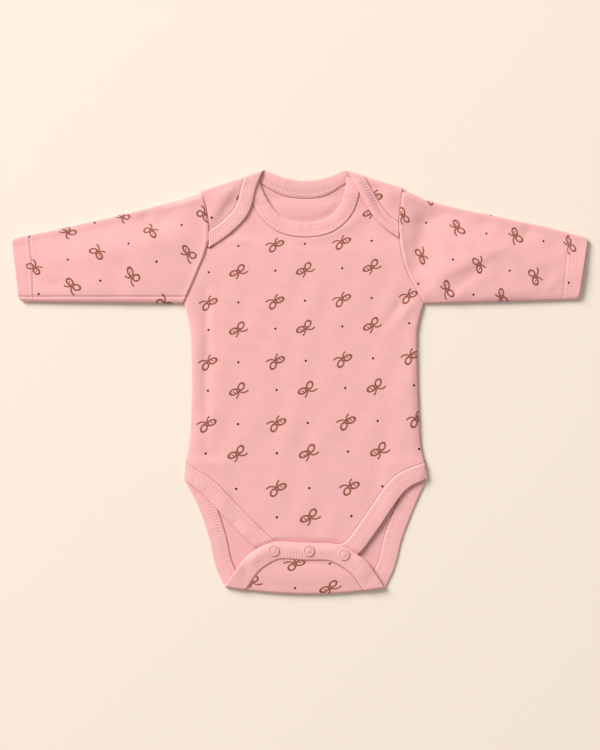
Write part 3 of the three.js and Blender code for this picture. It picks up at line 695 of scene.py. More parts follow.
def inner_line(edge, widths, start, end):
    line = edge + left_normals(edge) * np.asarray(widths)[:, None]
    along = travelled(edge)
    lead_start = (1 - ramp(along / LEAD))[:, None]
    lead_end = (1 - ramp((along[-1] - along) / LEAD))[:, None]
    return line + lead_start * (np.array(start) - line[0]) + lead_end * (np.array(end) - line[-1])


class Band:
    """A binding's free edge and inner line, and the edge of the panel that it is sewn to."""

    def __init__(self, rows, width, start, end, gap_way):
        self.edge = trace(rows, BAND_REACH)
        widths = width(self.edge) if callable(width) else np.full(len(self.edge), width)
        start, end, way = np.array(start, float), np.array(end, float), np.array(gap_way, float)
        self.inner = inner_line(self.edge, widths, start, end)
        self.panel = inner_line(self.edge, widths + SEAM_GAP, start + way[0], end + way[1])
        self.length = travelled(self.edge)[-1]


def lap_width(points):
    """The back's band is widest at the back neck and narrower down the laps."""
    lap = np.where(points[:, 0] < BODY_AXIS, LAP_BAND_LEFT, LAP_BAND_RIGHT)
    to_lap = ramp((np.abs(points[:, 0] - BODY_AXIS) - NECK_HALF) / NECK_TO_LAP)
    return BACK_NECK_BAND + (lap - BACK_NECK_BAND) * to_lap


CORNER_GAP = SEAM_GAP + 0.05
UP = [(0, CORNER_GAP), (0, CORNER_GAP)]


def unfolded(fold, *points):
    return [tuple(fold.unfold(p)[0]) for p in points]


front_neck = Band(
    FRONT_NECK_EDGE[::-1], FRONT_NECK_BAND, FRONT_NECK_END["right"], FRONT_NECK_END["left"],
    [(CORNER_GAP, 0), (-CORNER_GAP, 0)],
)
front_legs = Band(FRONT_LEG_EDGE, FRONT_LEG_BAND, FRONT_HIP["left"], FRONT_HIP["right"], UP)

lap_corner = {side: np.array(LAP_END[side]) + (0, CORNER_GAP) for side in LAP_END}
lap_end_right, lap_corner_right = unfolded(FOLD_RIGHT, LAP_END["right"], lap_corner["right"])
lap_end_left, lap_corner_left = unfolded(FOLD_LEFT, LAP_END["left"], lap_corner["left"])
back_neck_rows = [
    *unfolded(FOLD_LEFT, *LAP_EDGE_LEFT)[::-1],
    *BACK_NECK_EDGE,
    *unfolded(FOLD_RIGHT, *LAP_EDGE_RIGHT),
]
back_neck = Band(
    back_neck_rows[::-1], lap_width, lap_end_right, lap_end_left,
    [np.subtract(lap_corner_right, lap_end_right), np.subtract(lap_corner_left, lap_end_left)],
)
back_legs = Band(
    [*BACK_LEG_LEFT, *unfolded(FOLD_CROTCH, *TAB_EDGE), *BACK_LEG_RIGHT],
    BACK_LEG_BAND, BACK_HIP["left"], BACK_HIP["right"], UP,
)
for label, band in [("front neck", front_neck), ("front legs", front_legs),
                    ("back neck", back_neck), ("back legs", back_legs)]:
    print(label, "binding, length in mm:", round(band.length))

# %% [markdown]
# ## Outlines of the panels
# A panel's outline is its seam lines joined end to end, each with its own turn. The back's
# outline also goes over the shoulder folds and down the laps, so that part of the armhole
# is first unfolded to its place on the cut.

# %% Outlines of the two panels
SEAM_TURN = 0.45
BINDING_DIP = 0.5
ARMHOLE_DIP = 0.5

side_left = trace(SIDE_LEFT[::-1])
side_right = trace(SIDE_RIGHT[::-1])
armhole_left = trace(ARMHOLE_LEFT)
armhole_right = trace(ARMHOLE_RIGHT)


def lap_side(fold, armhole, corner):
    """The armhole's end on the cut of the back: over the fold and down the lap."""
    top = armhole[-1]
    steps = np.arange(FOLD_STEP, math.pi * fold.radius, FOLD_STEP)[:, None]
    laid = armhole[armhole[:, 1] > corner[1] + EDGE_STEP / 2][::-1]
    return np.vstack([top + fold.out * steps, fold.unfold(laid), fold.unfold(corner)])


def under_fold(fold, armhole):
    covered = armhole[fold.depth(armhole) < -SHOULDER_INSET - EDGE_STEP]
    return np.vstack([covered, armhole[-1] - fold.out * SHOULDER_INSET])


def shoulder_line(start, end):
    """The front's hidden shoulder, between the neck and the armhole."""
    steps = int(np.linalg.norm(end - start) / EDGE_STEP)
    return start + (end - start) * np.linspace(0, 1, steps + 1)[1:-1, None]


front_right = under_fold(FOLD_RIGHT, armhole_right)
front_left = under_fold(FOLD_LEFT, armhole_left)
front_outline, front_turns = join_lines(
    (front_legs.panel, BINDING_DIP),
    (side_right[1:-1], SEAM_TURN),
    (front_right, ARMHOLE_DIP),
    (shoulder_line(front_right[-1], front_neck.panel[0]), 0),
    (front_neck.panel, BINDING_DIP),
    (shoulder_line(front_neck.panel[-1], front_left[-1]), 0),
    (front_left[::-1], ARMHOLE_DIP),
    (side_left[::-1][1:-1], SEAM_TURN),
)
back_outline, back_turns = join_lines(
    (back_legs.panel, 0),
    (side_right[1:-1], -SEAM_TURN),
    (armhole_right, 0),
    (lap_side(FOLD_RIGHT, armhole_right, lap_corner["right"])[:-1], ARMHOLE_DIP),
    (back_neck.panel, BINDING_DIP),
    (lap_side(FOLD_LEFT, armhole_left, lap_corner["left"])[:-1][::-1], ARMHOLE_DIP),
    (armhole_left[::-1], 0),
    (side_left[::-1][1:-1], -SEAM_TURN),
)
print("outline points:", len(front_outline), len(back_outline))

# %% [markdown]
# ## The print
# The jersey is printed with small ribbon bows and dots. A bow is two rings for its loops,
# two arcs for its tails, a short curl and a light knot. The shader measures how far a point
# is from each stroke, so the print stays sharp at any size and needs no picture. Bows stand
# in two sets of columns, and every other set is turned upside down. The place of a point on
# the cut comes in as the "cut" UV map, in metres.

# %% Shader helpers
class Tree:
    """Adds nodes to a node tree by short calls that return sockets."""

    def __init__(self, tree):
        self.tree = tree

    def put(self, node, inputs):
        """Gives inputs, by name or number, a value or a link from another node's socket."""
        for key, value in inputs.items():
            if isinstance(value, bpy.types.NodeSocket):
                self.tree.links.new(value, node.inputs[key])
            else:
                node.inputs[key].default_value = value

    def add(self, kind, inputs=None, **settings):
        node = self.tree.nodes.new(kind)
        for key, value in settings.items():
            setattr(node, key, value)
        self.put(node, inputs or {})
        return node

    def math(self, operation, *values):
        inputs = dict(enumerate(values))
        return self.add("ShaderNodeMath", inputs, operation=operation).outputs[0]

    def vector(self, operation, *values):
        inputs = dict(enumerate(values))
        outputs = self.add("ShaderNodeVectorMath", inputs, operation=operation).outputs
        return outputs["Value" if operation in ("LENGTH", "DOT_PRODUCT") else "Vector"]

    def step(self, value, low, high):
        inputs = {"Value": value, "From Min": low, "From Max": high}
        return self.add("ShaderNodeMapRange", inputs, interpolation_type="SMOOTHSTEP").outputs[0]

    def mix(self, factor, a, b):
        return self.add("ShaderNodeMix", {0: factor, 6: a, 7: b}, data_type="RGBA").outputs[2]


def linear(red, green, blue):
    """A colour as a screen shows it, 0 to 255, in the linear values that a shader takes."""
    def one(c):
        c /= 255
        return c / 12.92 if c <= 0.04045 else ((c + 0.055) / 1.055) ** 2.4
    return (one(red), one(green), one(blue), 1.0)


# %% [markdown]
# ## One bow
# Each stroke is a short row of numbers in millimetres about the middle of the bow, and one
# node tree repeats it over the whole cloth: the place is wrapped to one cell of the lattice,
# and turned half round in every other set. An image would do the same, but would blur when
# the camera comes close.

# %% The bow, in millimetres about its middle
COLUMN_PERIOD, COLUMN_GAP = 60.6, 26.9
ROW_PERIOD, ROW_GAP = 55.0, 24.5
BOW_ARCS = [
    ((0.6, -0.6), (4.2, -1.8), (8.4, 0.1), 0.7),
    ((0.1, -0.8), (-0.2, -4.0), (-1.5, -6.5), 0.82),
    ((-2.9, -3.0), (-3.3, -2.0), (-4.6, -1.5), 0.5),
]
BOW_RINGS = [
    ((2.45, 3.4), (3.3, 2.4), 56, 0.82),
    ((-4.0, -1.5), (3.6, 2.3), 26, 0.88),
]
KNOT_LIGHT = ((-0.1, 0.1), 0.5)
DOT_RADIUS = 1.05
SOFT = 0.16


def circle_through(a, b, c):
    a, b, c = (np.array(p, dtype=float) for p in (a, b, c))
    rows = np.array([b - a, c - a])
    sides = np.array([(b @ b - a @ a) / 2, (c @ c - a @ a) / 2])
    centre = np.linalg.solve(rows, sides)
    return centre, np.linalg.norm(a - centre)


def stroke(tree, point, centre, half):
    gap = tree.vector("LENGTH", tree.vector("SUBTRACT", point, (*centre, 0)))
    return tree.step(gap, half + SOFT, half - SOFT)


def arc(tree, point, start, via, end, half):
    centre, radius = circle_through(start, via, end)
    chord = np.subtract(end, start)
    side = np.array([-chord[1], chord[0]])
    side = side * np.sign(side @ np.subtract(via, start))
    from_chord = tree.vector("SUBTRACT", point, (*start, 0))
    on_side = tree.math("GREATER_THAN", tree.vector("DOT_PRODUCT", from_chord, (*side, 0)), 0.0)
    reach = tree.vector("LENGTH", tree.vector("SUBTRACT", point, (*centre, 0)))
    gap = tree.math("ABSOLUTE", tree.math("SUBTRACT", reach, float(radius)))
    along = tree.math("MULTIPLY", tree.step(gap, half + SOFT, half - SOFT), on_side)
    caps = tree.math("MAXIMUM", stroke(tree, point, start, half), stroke(tree, point, end, half))
    return tree.math("MAXIMUM", along, caps)


def ring(tree, point, centre, axes, degrees, half):
    """An ellipse drawn as a line, measured in the ellipse's own stretched axes."""
    turn = math.radians(degrees)
    from_centre = tree.vector("SUBTRACT", point, (*centre, 0))
    along = (math.cos(turn) / axes[0], math.sin(turn) / axes[0], 0)
    across = (-math.sin(turn) / axes[1], math.cos(turn) / axes[1], 0)
    u = tree.vector("DOT_PRODUCT", from_centre, along)
    v = tree.vector("DOT_PRODUCT", from_centre, across)
    reach = tree.math("SQRT", tree.math("ADD", tree.math("MULTIPLY", u, u), tree.math("MULTIPLY", v, v)))
    mean = (axes[0] * axes[1]) ** 0.5
    gap = tree.math("MULTIPLY", tree.math("ABSOLUTE", tree.math("SUBTRACT", reach, 1.0)), mean)
    return tree.step(gap, half + SOFT, half - SOFT)


def wrapped(tree, value, period):
    """The value less its nearest whole number of periods."""
    return tree.math("WRAP", value, period / 2, -period / 2)


def print_group():
    """A group that turns a place on the cut into how much bow and how much dot is there."""
    group = bpy.data.node_groups.new("bows and dots", "ShaderNodeTree")
    group.interface.new_socket("Cut", in_out="INPUT", socket_type="NodeSocketVector")
    group.interface.new_socket("Bow", in_out="OUTPUT", socket_type="NodeSocketFloat")
    group.interface.new_socket("Dot", in_out="OUTPUT", socket_type="NodeSocketFloat")
    tree = Tree(group)
    given = tree.add("NodeGroupInput").outputs[0]
    in_mm = tree.add("ShaderNodeVectorMath", {0: given, "Scale": 1 / MM}, operation="SCALE")
    u, v, _ = tree.add("ShaderNodeSeparateXYZ", {0: in_mm.outputs["Vector"]}).outputs

    # The upside-down set stands at the origin of the cell, and the other one a gap away.
    turned_u = wrapped(tree, u, COLUMN_PERIOD)
    turned_v = wrapped(tree, v, ROW_PERIOD)
    upright_u = wrapped(tree, tree.math("SUBTRACT", u, COLUMN_GAP), COLUMN_PERIOD)
    upright_v = wrapped(tree, tree.math("ADD", v, ROW_GAP), ROW_PERIOD)
    is_turned = tree.math("LESS_THAN", tree.math("ABSOLUTE", turned_u), COLUMN_GAP / 2)
    local = []
    for turned_way, upright in ((turned_u, upright_u), (turned_v, upright_v)):
        flipped = tree.math("MULTIPLY", turned_way, -1.0)
        change = tree.math("MULTIPLY", tree.math("SUBTRACT", flipped, upright), is_turned)
        local.append(tree.math("ADD", upright, change))
    point = tree.add("ShaderNodeCombineXYZ", dict(enumerate(local))).outputs[0]

    marks = [arc(tree, point, *row) for row in BOW_ARCS]
    marks += [ring(tree, point, *row) for row in BOW_RINGS]
    bow = marks[0]
    for mark in marks[1:]:
        bow = tree.math("MAXIMUM", bow, mark)
    bow = tree.math("SUBTRACT", bow, tree.math("MULTIPLY", stroke(tree, point, *KNOT_LIGHT), 0.7))
    bow = tree.math("MAXIMUM", bow, 0.0)

    from_dot = wrapped(tree, tree.math("SUBTRACT", local[1], ROW_GAP), ROW_PERIOD)
    dot_point = tree.add("ShaderNodeCombineXYZ", {0: local[0], 1: from_dot}).outputs[0]
    dot = stroke(tree, dot_point, (0, 0), DOT_RADIUS)
    tree.add("NodeGroupOutput", {"Bow": bow, "Dot": dot})
    return group


# %% [markdown]
# ## Materials
# Jersey scatters light softly, with a trace of fuzz that catches it at grazing angles, and
# its colour is never quite even. A little sheen, a faint mottle and a fine bump give that.
# The snaps are enamelled metal, so they are smoother, with a thin clear coat.

# %% Materials
PRINT = print_group()
PINK = linear(243, 181, 179)
PINK_INSIDE = linear(240, 179, 178)
PINK_BAND = linear(244, 183, 181)
# Painted shade: the deeper pink that stands in for light lost in the seam grooves.
PINK_PAINTED_SHADE = linear(206, 126, 122)
BOW_BROWN = linear(146, 86, 67)
DOT_BROWN = linear(48, 14, 16)
THREAD_PINK = linear(247, 192, 189)
ENAMEL_PINK = linear(243, 180, 178)
FLOOR_CREAM = linear(246, 232, 218)


def new_material(name, inputs):
    material = bpy.data.materials.new(name)
    material.use_nodes = True
    tree, shader = Tree(material.node_tree), material.node_tree.nodes["Principled BSDF"]
    tree.put(shader, inputs)
    return material, tree, shader


def jersey(name, colour, printed):
    """Cotton jersey: matt, with a trace of fuzz, a faint mottle and a fine bump."""
    material, tree, shader = new_material(name, {
        "Roughness": 0.92, "Specular IOR Level": 0.2, "Sheen Weight": 0.12,
        "Sheen Roughness": 0.5, "Sheen Tint": (1.0, 0.9, 0.88, 1.0),
    })
    place = tree.add("ShaderNodeTexCoord").outputs["Object"]
    mottle = tree.add("ShaderNodeTexNoise", {"Vector": place, "Scale": 420.0, "Detail": 3.0})
    fuzz = tree.add("ShaderNodeTexNoise", {"Vector": place, "Scale": 900.0}).outputs[0]
    bump = tree.add("ShaderNodeBump", {"Strength": 0.25, "Distance": 0.0003, "Height": fuzz})
    dark = tuple(c * 0.93 for c in colour[:3]) + (1.0,)
    light = tuple(min(c * 1.05, 1) for c in colour[:3]) + (1.0,)
    cloth = tree.mix(mottle.outputs[0], dark, light)
    if printed:
        cut = tree.add("ShaderNodeUVMap", uv_map="cut").outputs[0]
        bow, dot = tree.add("ShaderNodeGroup", {"Cut": cut}, node_tree=PRINT).outputs
        cloth = tree.mix(bow, cloth, BOW_BROWN)
        cloth = tree.mix(dot, cloth, DOT_BROWN)
    tree.put(shader, {"Base Color": cloth, "Normal": bump.outputs[0]})
    return material


def plain(name, colour, roughness, coat=0.0):
    return new_material(name, {"Base Color": colour, "Roughness": roughness, "Coat Weight": coat})[0]


jersey_outside = jersey("jersey_outside", PINK, printed=True)
jersey_inside = jersey("jersey_inside", PINK_INSIDE, printed=False)
jersey_band = jersey("jersey_band", PINK_BAND, printed=False)
jersey_painted_shade = jersey("jersey_painted_shade", PINK_PAINTED_SHADE, printed=False)
thread = plain("thread", THREAD_PINK, 0.7)
enamel = plain("enamel", ENAMEL_PINK, 0.5, coat=0.1)
print("print nodes:", len(PRINT.nodes))

# %% [markdown]
# ## The two panels
# Front and back are cut, filled with triangles and laid by their rules. The print follows
# the cloth, so its place is worked out on the cut. On the front the rows are a little
# uneven, because the jersey was stretched as it was laid, and a short table says where each
# row of bows came to lie. The back shows its print only on the laps and the tab, so one mark
# on each of them says where its print lies.

# %% Where the print lies on the panels
# Rows of the print on the front: height in mm, row on the print, and how far apart the
# columns of one set came to lie.
PRINT_ROWS = [
    (-158, -275, 68.5), (-130, -253, 67.4), (-121.1, -244.5, 67.0), (-95.3, -220, 65.7),
    (-63.5, -189.5, 63.9), (-36.9, -165, 62.7), (-6.7, -134.5, 61.7), (18.9, -110, 60.6),
    (48.4, -79.5, 60.1), (72.7, -55, 59.9), (100.4, -24.5, 59.9), (123.7, 0, 59.9),
    (149.5, 30.5, 59.9), (173, 55, 59.9),
]
STILL_COLUMN = -22.1
HIP_SHIFT, HIP_TOP, HIP_WAY = 1.3, 45.0, 70.0
ROW_CLIMB, ROW_CLIMB_GAIN, ROW_BOW = 0.02, 0.0001, 0.00012
CORNER_PULL, CORNER_WAY, CORNER_FOOT = 2.7, 14.0, 108.0
CORNER_SLOPE, CORNER_TOP, CORNER_OUT = 0.9, 124.0, 40.0
TAB_BOW = (-4.5, -163.0)
TAB_STRETCH = (1.165, 0.88)
LAP_BOW_RIGHT = (65.5, 167.0)
LAP_DOT_LEFT = (-79.3, 148.0)
LAP_STRETCH_LEFT = (1.11, 1.0)
LAP_TURN_RIGHT = 12.0
FADE_ACROSS, FADE_ALONG = 35.0, 110.0


def print_on_front(cut):
    """The rows climb a little to the right, the columns spread towards the hips, and the
    corner beside the left armhole is pulled outwards."""
    heights, rows, spacing = np.array(PRINT_ROWS, dtype=float).T
    x, y = cut[:, 0], cut[:, 1]
    across = x - STILL_COLUMN - HIP_SHIFT * ramp((HIP_TOP - y) / HIP_WAY)
    y = y - (ROW_CLIMB + ROW_CLIMB_GAIN * y) * across - ROW_BOW * across ** 2
    in_corner = ramp((CORNER_SLOPE * (y - CORNER_TOP) - across - CORNER_OUT) / CORNER_WAY)
    across = across + CORNER_PULL * in_corner * ramp((y - CORNER_FOOT) / CORNER_WAY)
    u = COLUMN_PERIOD + across * COLUMN_PERIOD / np.interp(y, heights, spacing)
    return np.column_stack([u, np.interp(y, heights, rows)])


def print_on_back(cut):
    """The back's print faces down, so it runs the other way across, and its folded ends show
    it upside down. A bow on the tab, a bow on the right lap and a dot on the left one fix
    where it lies."""
    mirrored = np.column_stack([-cut[:, 0], cut[:, 1]])
    upright, dot = np.array([COLUMN_GAP, -ROW_GAP]), np.array([COLUMN_PERIOD, -ROW_GAP])

    def from_mark(fold, mark, place, stretch=(1, 1), turn=0.0):
        x, y = unfolded(fold, mark)[0]
        cos, sin = math.cos(turn), math.sin(turn)
        return (mirrored - (-x, y)) @ np.array([[cos, -sin], [sin, cos]]) / stretch + place

    from_tab = from_mark(FOLD_CROTCH, TAB_BOW, upright, TAB_STRETCH)
    from_right = from_mark(FOLD_RIGHT, LAP_BOW_RIGHT, upright, turn=math.radians(LAP_TURN_RIGHT))
    from_left = from_mark(FOLD_LEFT, LAP_DOT_LEFT, dot, LAP_STRETCH_LEFT)
    cell = np.array([COLUMN_PERIOD, ROW_PERIOD])
    from_left += np.round((from_right - from_left)[:1] / cell) * cell
    to_right = ramp((cut[:, 0] - BODY_AXIS + FADE_ACROSS) / (2 * FADE_ACROSS))[:, None]
    from_laps = from_left * (1 - to_right) + from_right * to_right
    to_laps = ramp((cut[:, 1] + FADE_ALONG) / (2 * FADE_ALONG))[:, None]
    return from_tab * (1 - to_laps) + from_laps * to_laps


front, front_area = panel(
    "front", front_outline, front_turns, lay_front, (jersey_outside, jersey_inside, jersey_painted_shade),
    print_on_front)
back, back_area = panel(
    "back", back_outline, back_turns, lay_back, (jersey_inside, jersey_outside, jersey_painted_shade),
    print_on_back)

# %% [markdown]
# ## Bindings
# A binding is a strip of jersey folded over the raw edge and sewn down by two rows of
# stitches. Its free edge is a round fold, its inner edge steps down to the panel, and each
# stitch pulls the cloth in a little, which gives the band its fine puckers. All of that is
# one strip of faces whose thickness changes across and along.

# %% Bindings
BAND_HALF = 0.75
BAND_RISE = OVER_BINDING / 2
BAND_DOME = 0.3
BAND_ROWS = (3.2, 5.4)
STITCH_PITCH = 2.8
PUCKER = 0.1
FREE_EDGE_RADIUS = 0.75
SEAM_EDGE_SHARE = 0.25
STITCH_PULL, STITCH_REACH = 0.2, 0.55
THINNEST = 0.03
DRIFTS, WIDE_PUCKERS = 60, 90


def band_columns(width):
    """Distances from the free edge, close together at the edge, the stitches and the seam."""
    near_edge = [0, 0.04, 0.16, 0.38, 0.7, 1.2]
    near_rows = [width - row + offset for row in BAND_ROWS for offset in (-0.8, -0.35, 0, 0.35, 0.8)]
    near_seam = [width - 1.6, width - 0.9, width - 0.45, width - 0.15, width + 0.15]
    open_band = list(np.arange(2.2, width - max(BAND_ROWS) - 1.2, 1.2))
    return np.array(sorted(near_edge + near_rows + near_seam + open_band)) / width


def binding(name, band, width, lay, seed):
    along = travelled(band.edge)
    places = np.linspace(0, along[-1], int(along[-1] / BAND_STEP) + 1)
    edge, inner = respace(band.edge, places), respace(band.inner, places, along)
    shares = band_columns(width)
    cut = (edge[:, None] + (inner - edge)[:, None] * shares[None, :, None]).reshape(-1, 2)
    rows, columns = len(places), len(shares)

    in_from_edge = np.tile(shares * width, rows)
    in_from_seam = width - in_from_edge
    where = np.repeat(places, columns)
    free_edge = rounded(in_from_edge / FREE_EDGE_RADIUS)
    seam_edge = SEAM_EDGE_SHARE + (1 - SEAM_EDGE_SHARE) * ramp((in_from_seam + 0.1) / 0.9)
    stitched = sum(hump((in_from_seam - row) / STITCH_REACH) for row in BAND_ROWS)
    draw = np.random.default_rng(seed)
    drift = np.interp(where, np.linspace(0, along[-1], DRIFTS), draw.uniform(-1, 1, DRIFTS))
    beat = np.sin(2 * math.pi * where / STITCH_PITCH + 0.8 * drift)
    wide_places = np.linspace(0, along[-1], WIDE_PUCKERS)
    wide = np.interp(where, wide_places, draw.uniform(-1, 1, WIDE_PUCKERS))
    near_rows = hump((in_from_seam - np.mean(BAND_ROWS)) / 3.5)
    half = BAND_HALF * free_edge * seam_edge - STITCH_PULL * stitched * (0.7 + 0.3 * beat)
    half = np.maximum(half, THINNEST)
    middle = lay(cut)
    share = np.tile(shares, rows)
    dome = BAND_DOME * (1 - np.square(2 * share - 1))
    middle[:, 2] += BAND_RISE * ramp((in_from_seam + 0.6) / 2.0) + dome
    middle[:, 2] += PUCKER * (beat * near_rows + wide * (1 - near_rows) * free_edge)

    a = (np.arange(rows - 1)[:, None] * columns + np.arange(columns - 1)).ravel()
    triangles = halved(a, a + columns, a + columns + 1, a + 1)
    points, faces, _ = wall(middle, triangles, half, half)
    piece = new_object(name, points, faces, materials=(jersey_band,))
    grid = points.reshape(2, rows, columns, 3)
    print(name, "rows and columns:", rows, columns, "faces:", len(faces))
    return piece, grid, shares * width


# Columns: seam lines, width that shows, rule that lays it, seed of its puckers.
BINDINGS = {
    "neck_band_front": (front_neck, FRONT_NECK_BAND, lay_front, 11),
    "neck_band_back": (back_neck, LAP_BAND, lay_back, 12),
    "leg_band_front": (front_legs, FRONT_LEG_BAND, lay_front, 13),
    "leg_band_back": (back_legs, BACK_LEG_BAND, lay_back, 14),
}
bindings = {name: binding(name, *row) for name, row in BINDINGS.items()}

# %% [markdown]
# ## Sleeves
# A sleeve is a tube pressed flat. Its middle surface is drawn ring by ring, from the
# armhole to the cuff: along the back, round the upper edge, over the top and round the
# lower edge. The hem is turned in at the cuff, so the wall is thicker there, and at the
# armhole the cloth rolls down to the body's seam.

# %% Sleeve sizes and tables
SLEEVE_RADIUS = 1.0
SLEEVE_CROWN = 2.6
CUFF_CORNER = 4.0
SEAM_Y = 77.1
SLEEVES = {
    "sleeve_left": dict(
        side=-1, armhole=ARMHOLE_LEFT, low=(-252.6, 73.2), high=(-259.1, 129.6),
        droop=[(0, 0), (0.15, -1.6), (0.4, -2.1), (0.7, -1.6), (1, 0)],
        stitches=(10.5, 15.0), lap_end=LAP_END["left"], seed=21),
    "sleeve_right": dict(
        side=1, armhole=ARMHOLE_RIGHT, low=(250.4, 75), high=(259.1, 130.6),
        droop=[(0, 0), (0.15, -3.8), (0.3, -3.6), (0.55, -1.6), (0.8, 0), (1, 0)],
        stitches=(13.0, 16.5), lap_end=LAP_END["right"], seed=22),
}
# Marks of the print on each sleeve, read from the photo. Columns: the mark's column
# and row on the print, and its x and y in the photo's pixels.
PIXEL = 0.9
PHOTO_MIDDLE_X, PHOTO_MIDDLE_Y = 300, 382.5
SLEEVE_MARKS = {
    "sleeve_left": {
        "turned": [(0, 0, 73, 286), (0, 1, 133, 277), (0, 2, 189, 254), (1, 0, 69, 232),
                   (1, 1, 123.5, 217)],
        "upright": [(0, -1, 35, 268), (0, 0, 98, 252.6), (0, 1, 151, 231), (0, 2, 204, 215)],
        "row_dot": [(0, 0, 68.5, 260), (0, 1, 129, 244), (0, 2, 182, 225.5)],
        "gap_dot": [(0, 0, 101, 281), (0, 1, 157, 262), (1, 0, 95, 223), (1, -1, 30, 237)],
    },
    "sleeve_right": {
        "turned": [(0, 0, 421, 256), (0, -1, 478, 265), (0, -2, 534, 277), (-1, 0, 429, 197.4)],
        "upright": [(0, -1, 447, 290), (0, -2, 501, 297), (-1, 0, 403, 216), (-1, -1, 457, 228),
                    (-1, -2, 515, 236), (-1, -3, 569, 245)],
        "row_dot": [(0, 0, 418, 284), (0, -1, 473, 295), (-1, 0, 426, 223), (-1, -1, 486, 234),
                    (-1, -2, 543, 241.5)],
        "gap_dot": [(0, -1, 452.5, 260), (0, -2, 509, 271), (0, -3, 568, 283)],
    },
}
MARK_SHIFTS = {
    "turned": (0, 0), "upright": (COLUMN_GAP, ROW_GAP),
    "row_dot": (COLUMN_GAP, 0), "gap_dot": (0, ROW_GAP),
}


def mark_places(kinds):
    """Where the marks lie, in mm, and where they are on the print."""
    lies, printed = [], []
    for kind, rows in kinds.items():
        across, down = MARK_SHIFTS[kind]
        for column, row, x, y in rows:
            lies.append(((x - PHOTO_MIDDLE_X) * PIXEL, (PHOTO_MIDDLE_Y - y) * PIXEL))
            printed.append((COLUMN_PERIOD * column + across, -ROW_PERIOD * row - down))
    return np.array(lies), np.array(printed)


def soft_table(rows, places):
    """Reads a table of (place, value) rows, easing from each value to the next."""
    knots, values = np.array(rows, dtype=float).T
    index = np.clip(np.searchsorted(knots, places) - 1, 0, len(knots) - 2)
    share = ramp((places - knots[index]) / (knots[index + 1] - knots[index]))
    return values[index] + (values[index + 1] - values[index]) * share


def fitted_print(kinds):
    """The print's place from its marks: a plain turn and stretch, and a smooth bend of it
    that brings each mark to its own place, as a thin sheet of metal would bend."""
    marks, places = mark_places(kinds)
    count = len(marks)

    def bend(points):
        gaps = np.linalg.norm(points[:, None] - marks[None], axis=2) / 30
        return gaps ** 2 * np.log(gaps + 1e-6)

    def flat(points):
        return np.column_stack([np.ones(len(points)), points])

    system = np.zeros((count + 3, count + 3))
    system[:count, :count] = bend(marks) + 0.004 * np.eye(count)
    system[:count, count:] = flat(marks)
    system[count:, :count] = flat(marks).T
    found = np.linalg.solve(system, np.vstack([places, np.zeros((3, 2))]))

    def place(laid, opened):
        """laid is where the point lies now, opened where it lies with the tube opened flat."""
        return flat(opened) @ found[count:] + bend(laid) @ found[:count]

    return place


# %% [markdown]
# ## The sleeve's own form
# Pressed flat, a sleeve is still a little fuller along its lower edge, where the seam's
# layers lie, and flatter towards the cuff. Its height is a sum of soft parts: the swell, a
# rim along the folded upper edge, creases, the step of the hem, and the roll down into the
# armhole. Each is a line or two below, so any of them can be changed alone.

# %% Heights on a sleeve
SLEEVE_UNEVEN = 0.18
SWELL_FROM_LOW, SWELL_FROM_HIGH = 11.0, 34.0
CUFF_FLATTENING = 0.55
CREASE_FROM_EDGE = 5.0
SHOULDER_SWELL = 0.9
UPPER_RIM, UPPER_RIM_IN = 0.35, 3.0
HEM_STEP, HEM_GROOVE, HEM_STITCH_GROOVE = 0.3, 0.25, 0.2
UNDERARM_GROOVE, UNDERARM_TUCK = 0.64, 0.14
ARMHOLE_RIDGE, ARMHOLE_RIDGE_IN, ARMHOLE_ROLL = 0.25, 2.4, 2.0
BESIDE_BODY, BESIDE_LAP = 1.75, 3.75
BELOW_LAP_END = 14.0


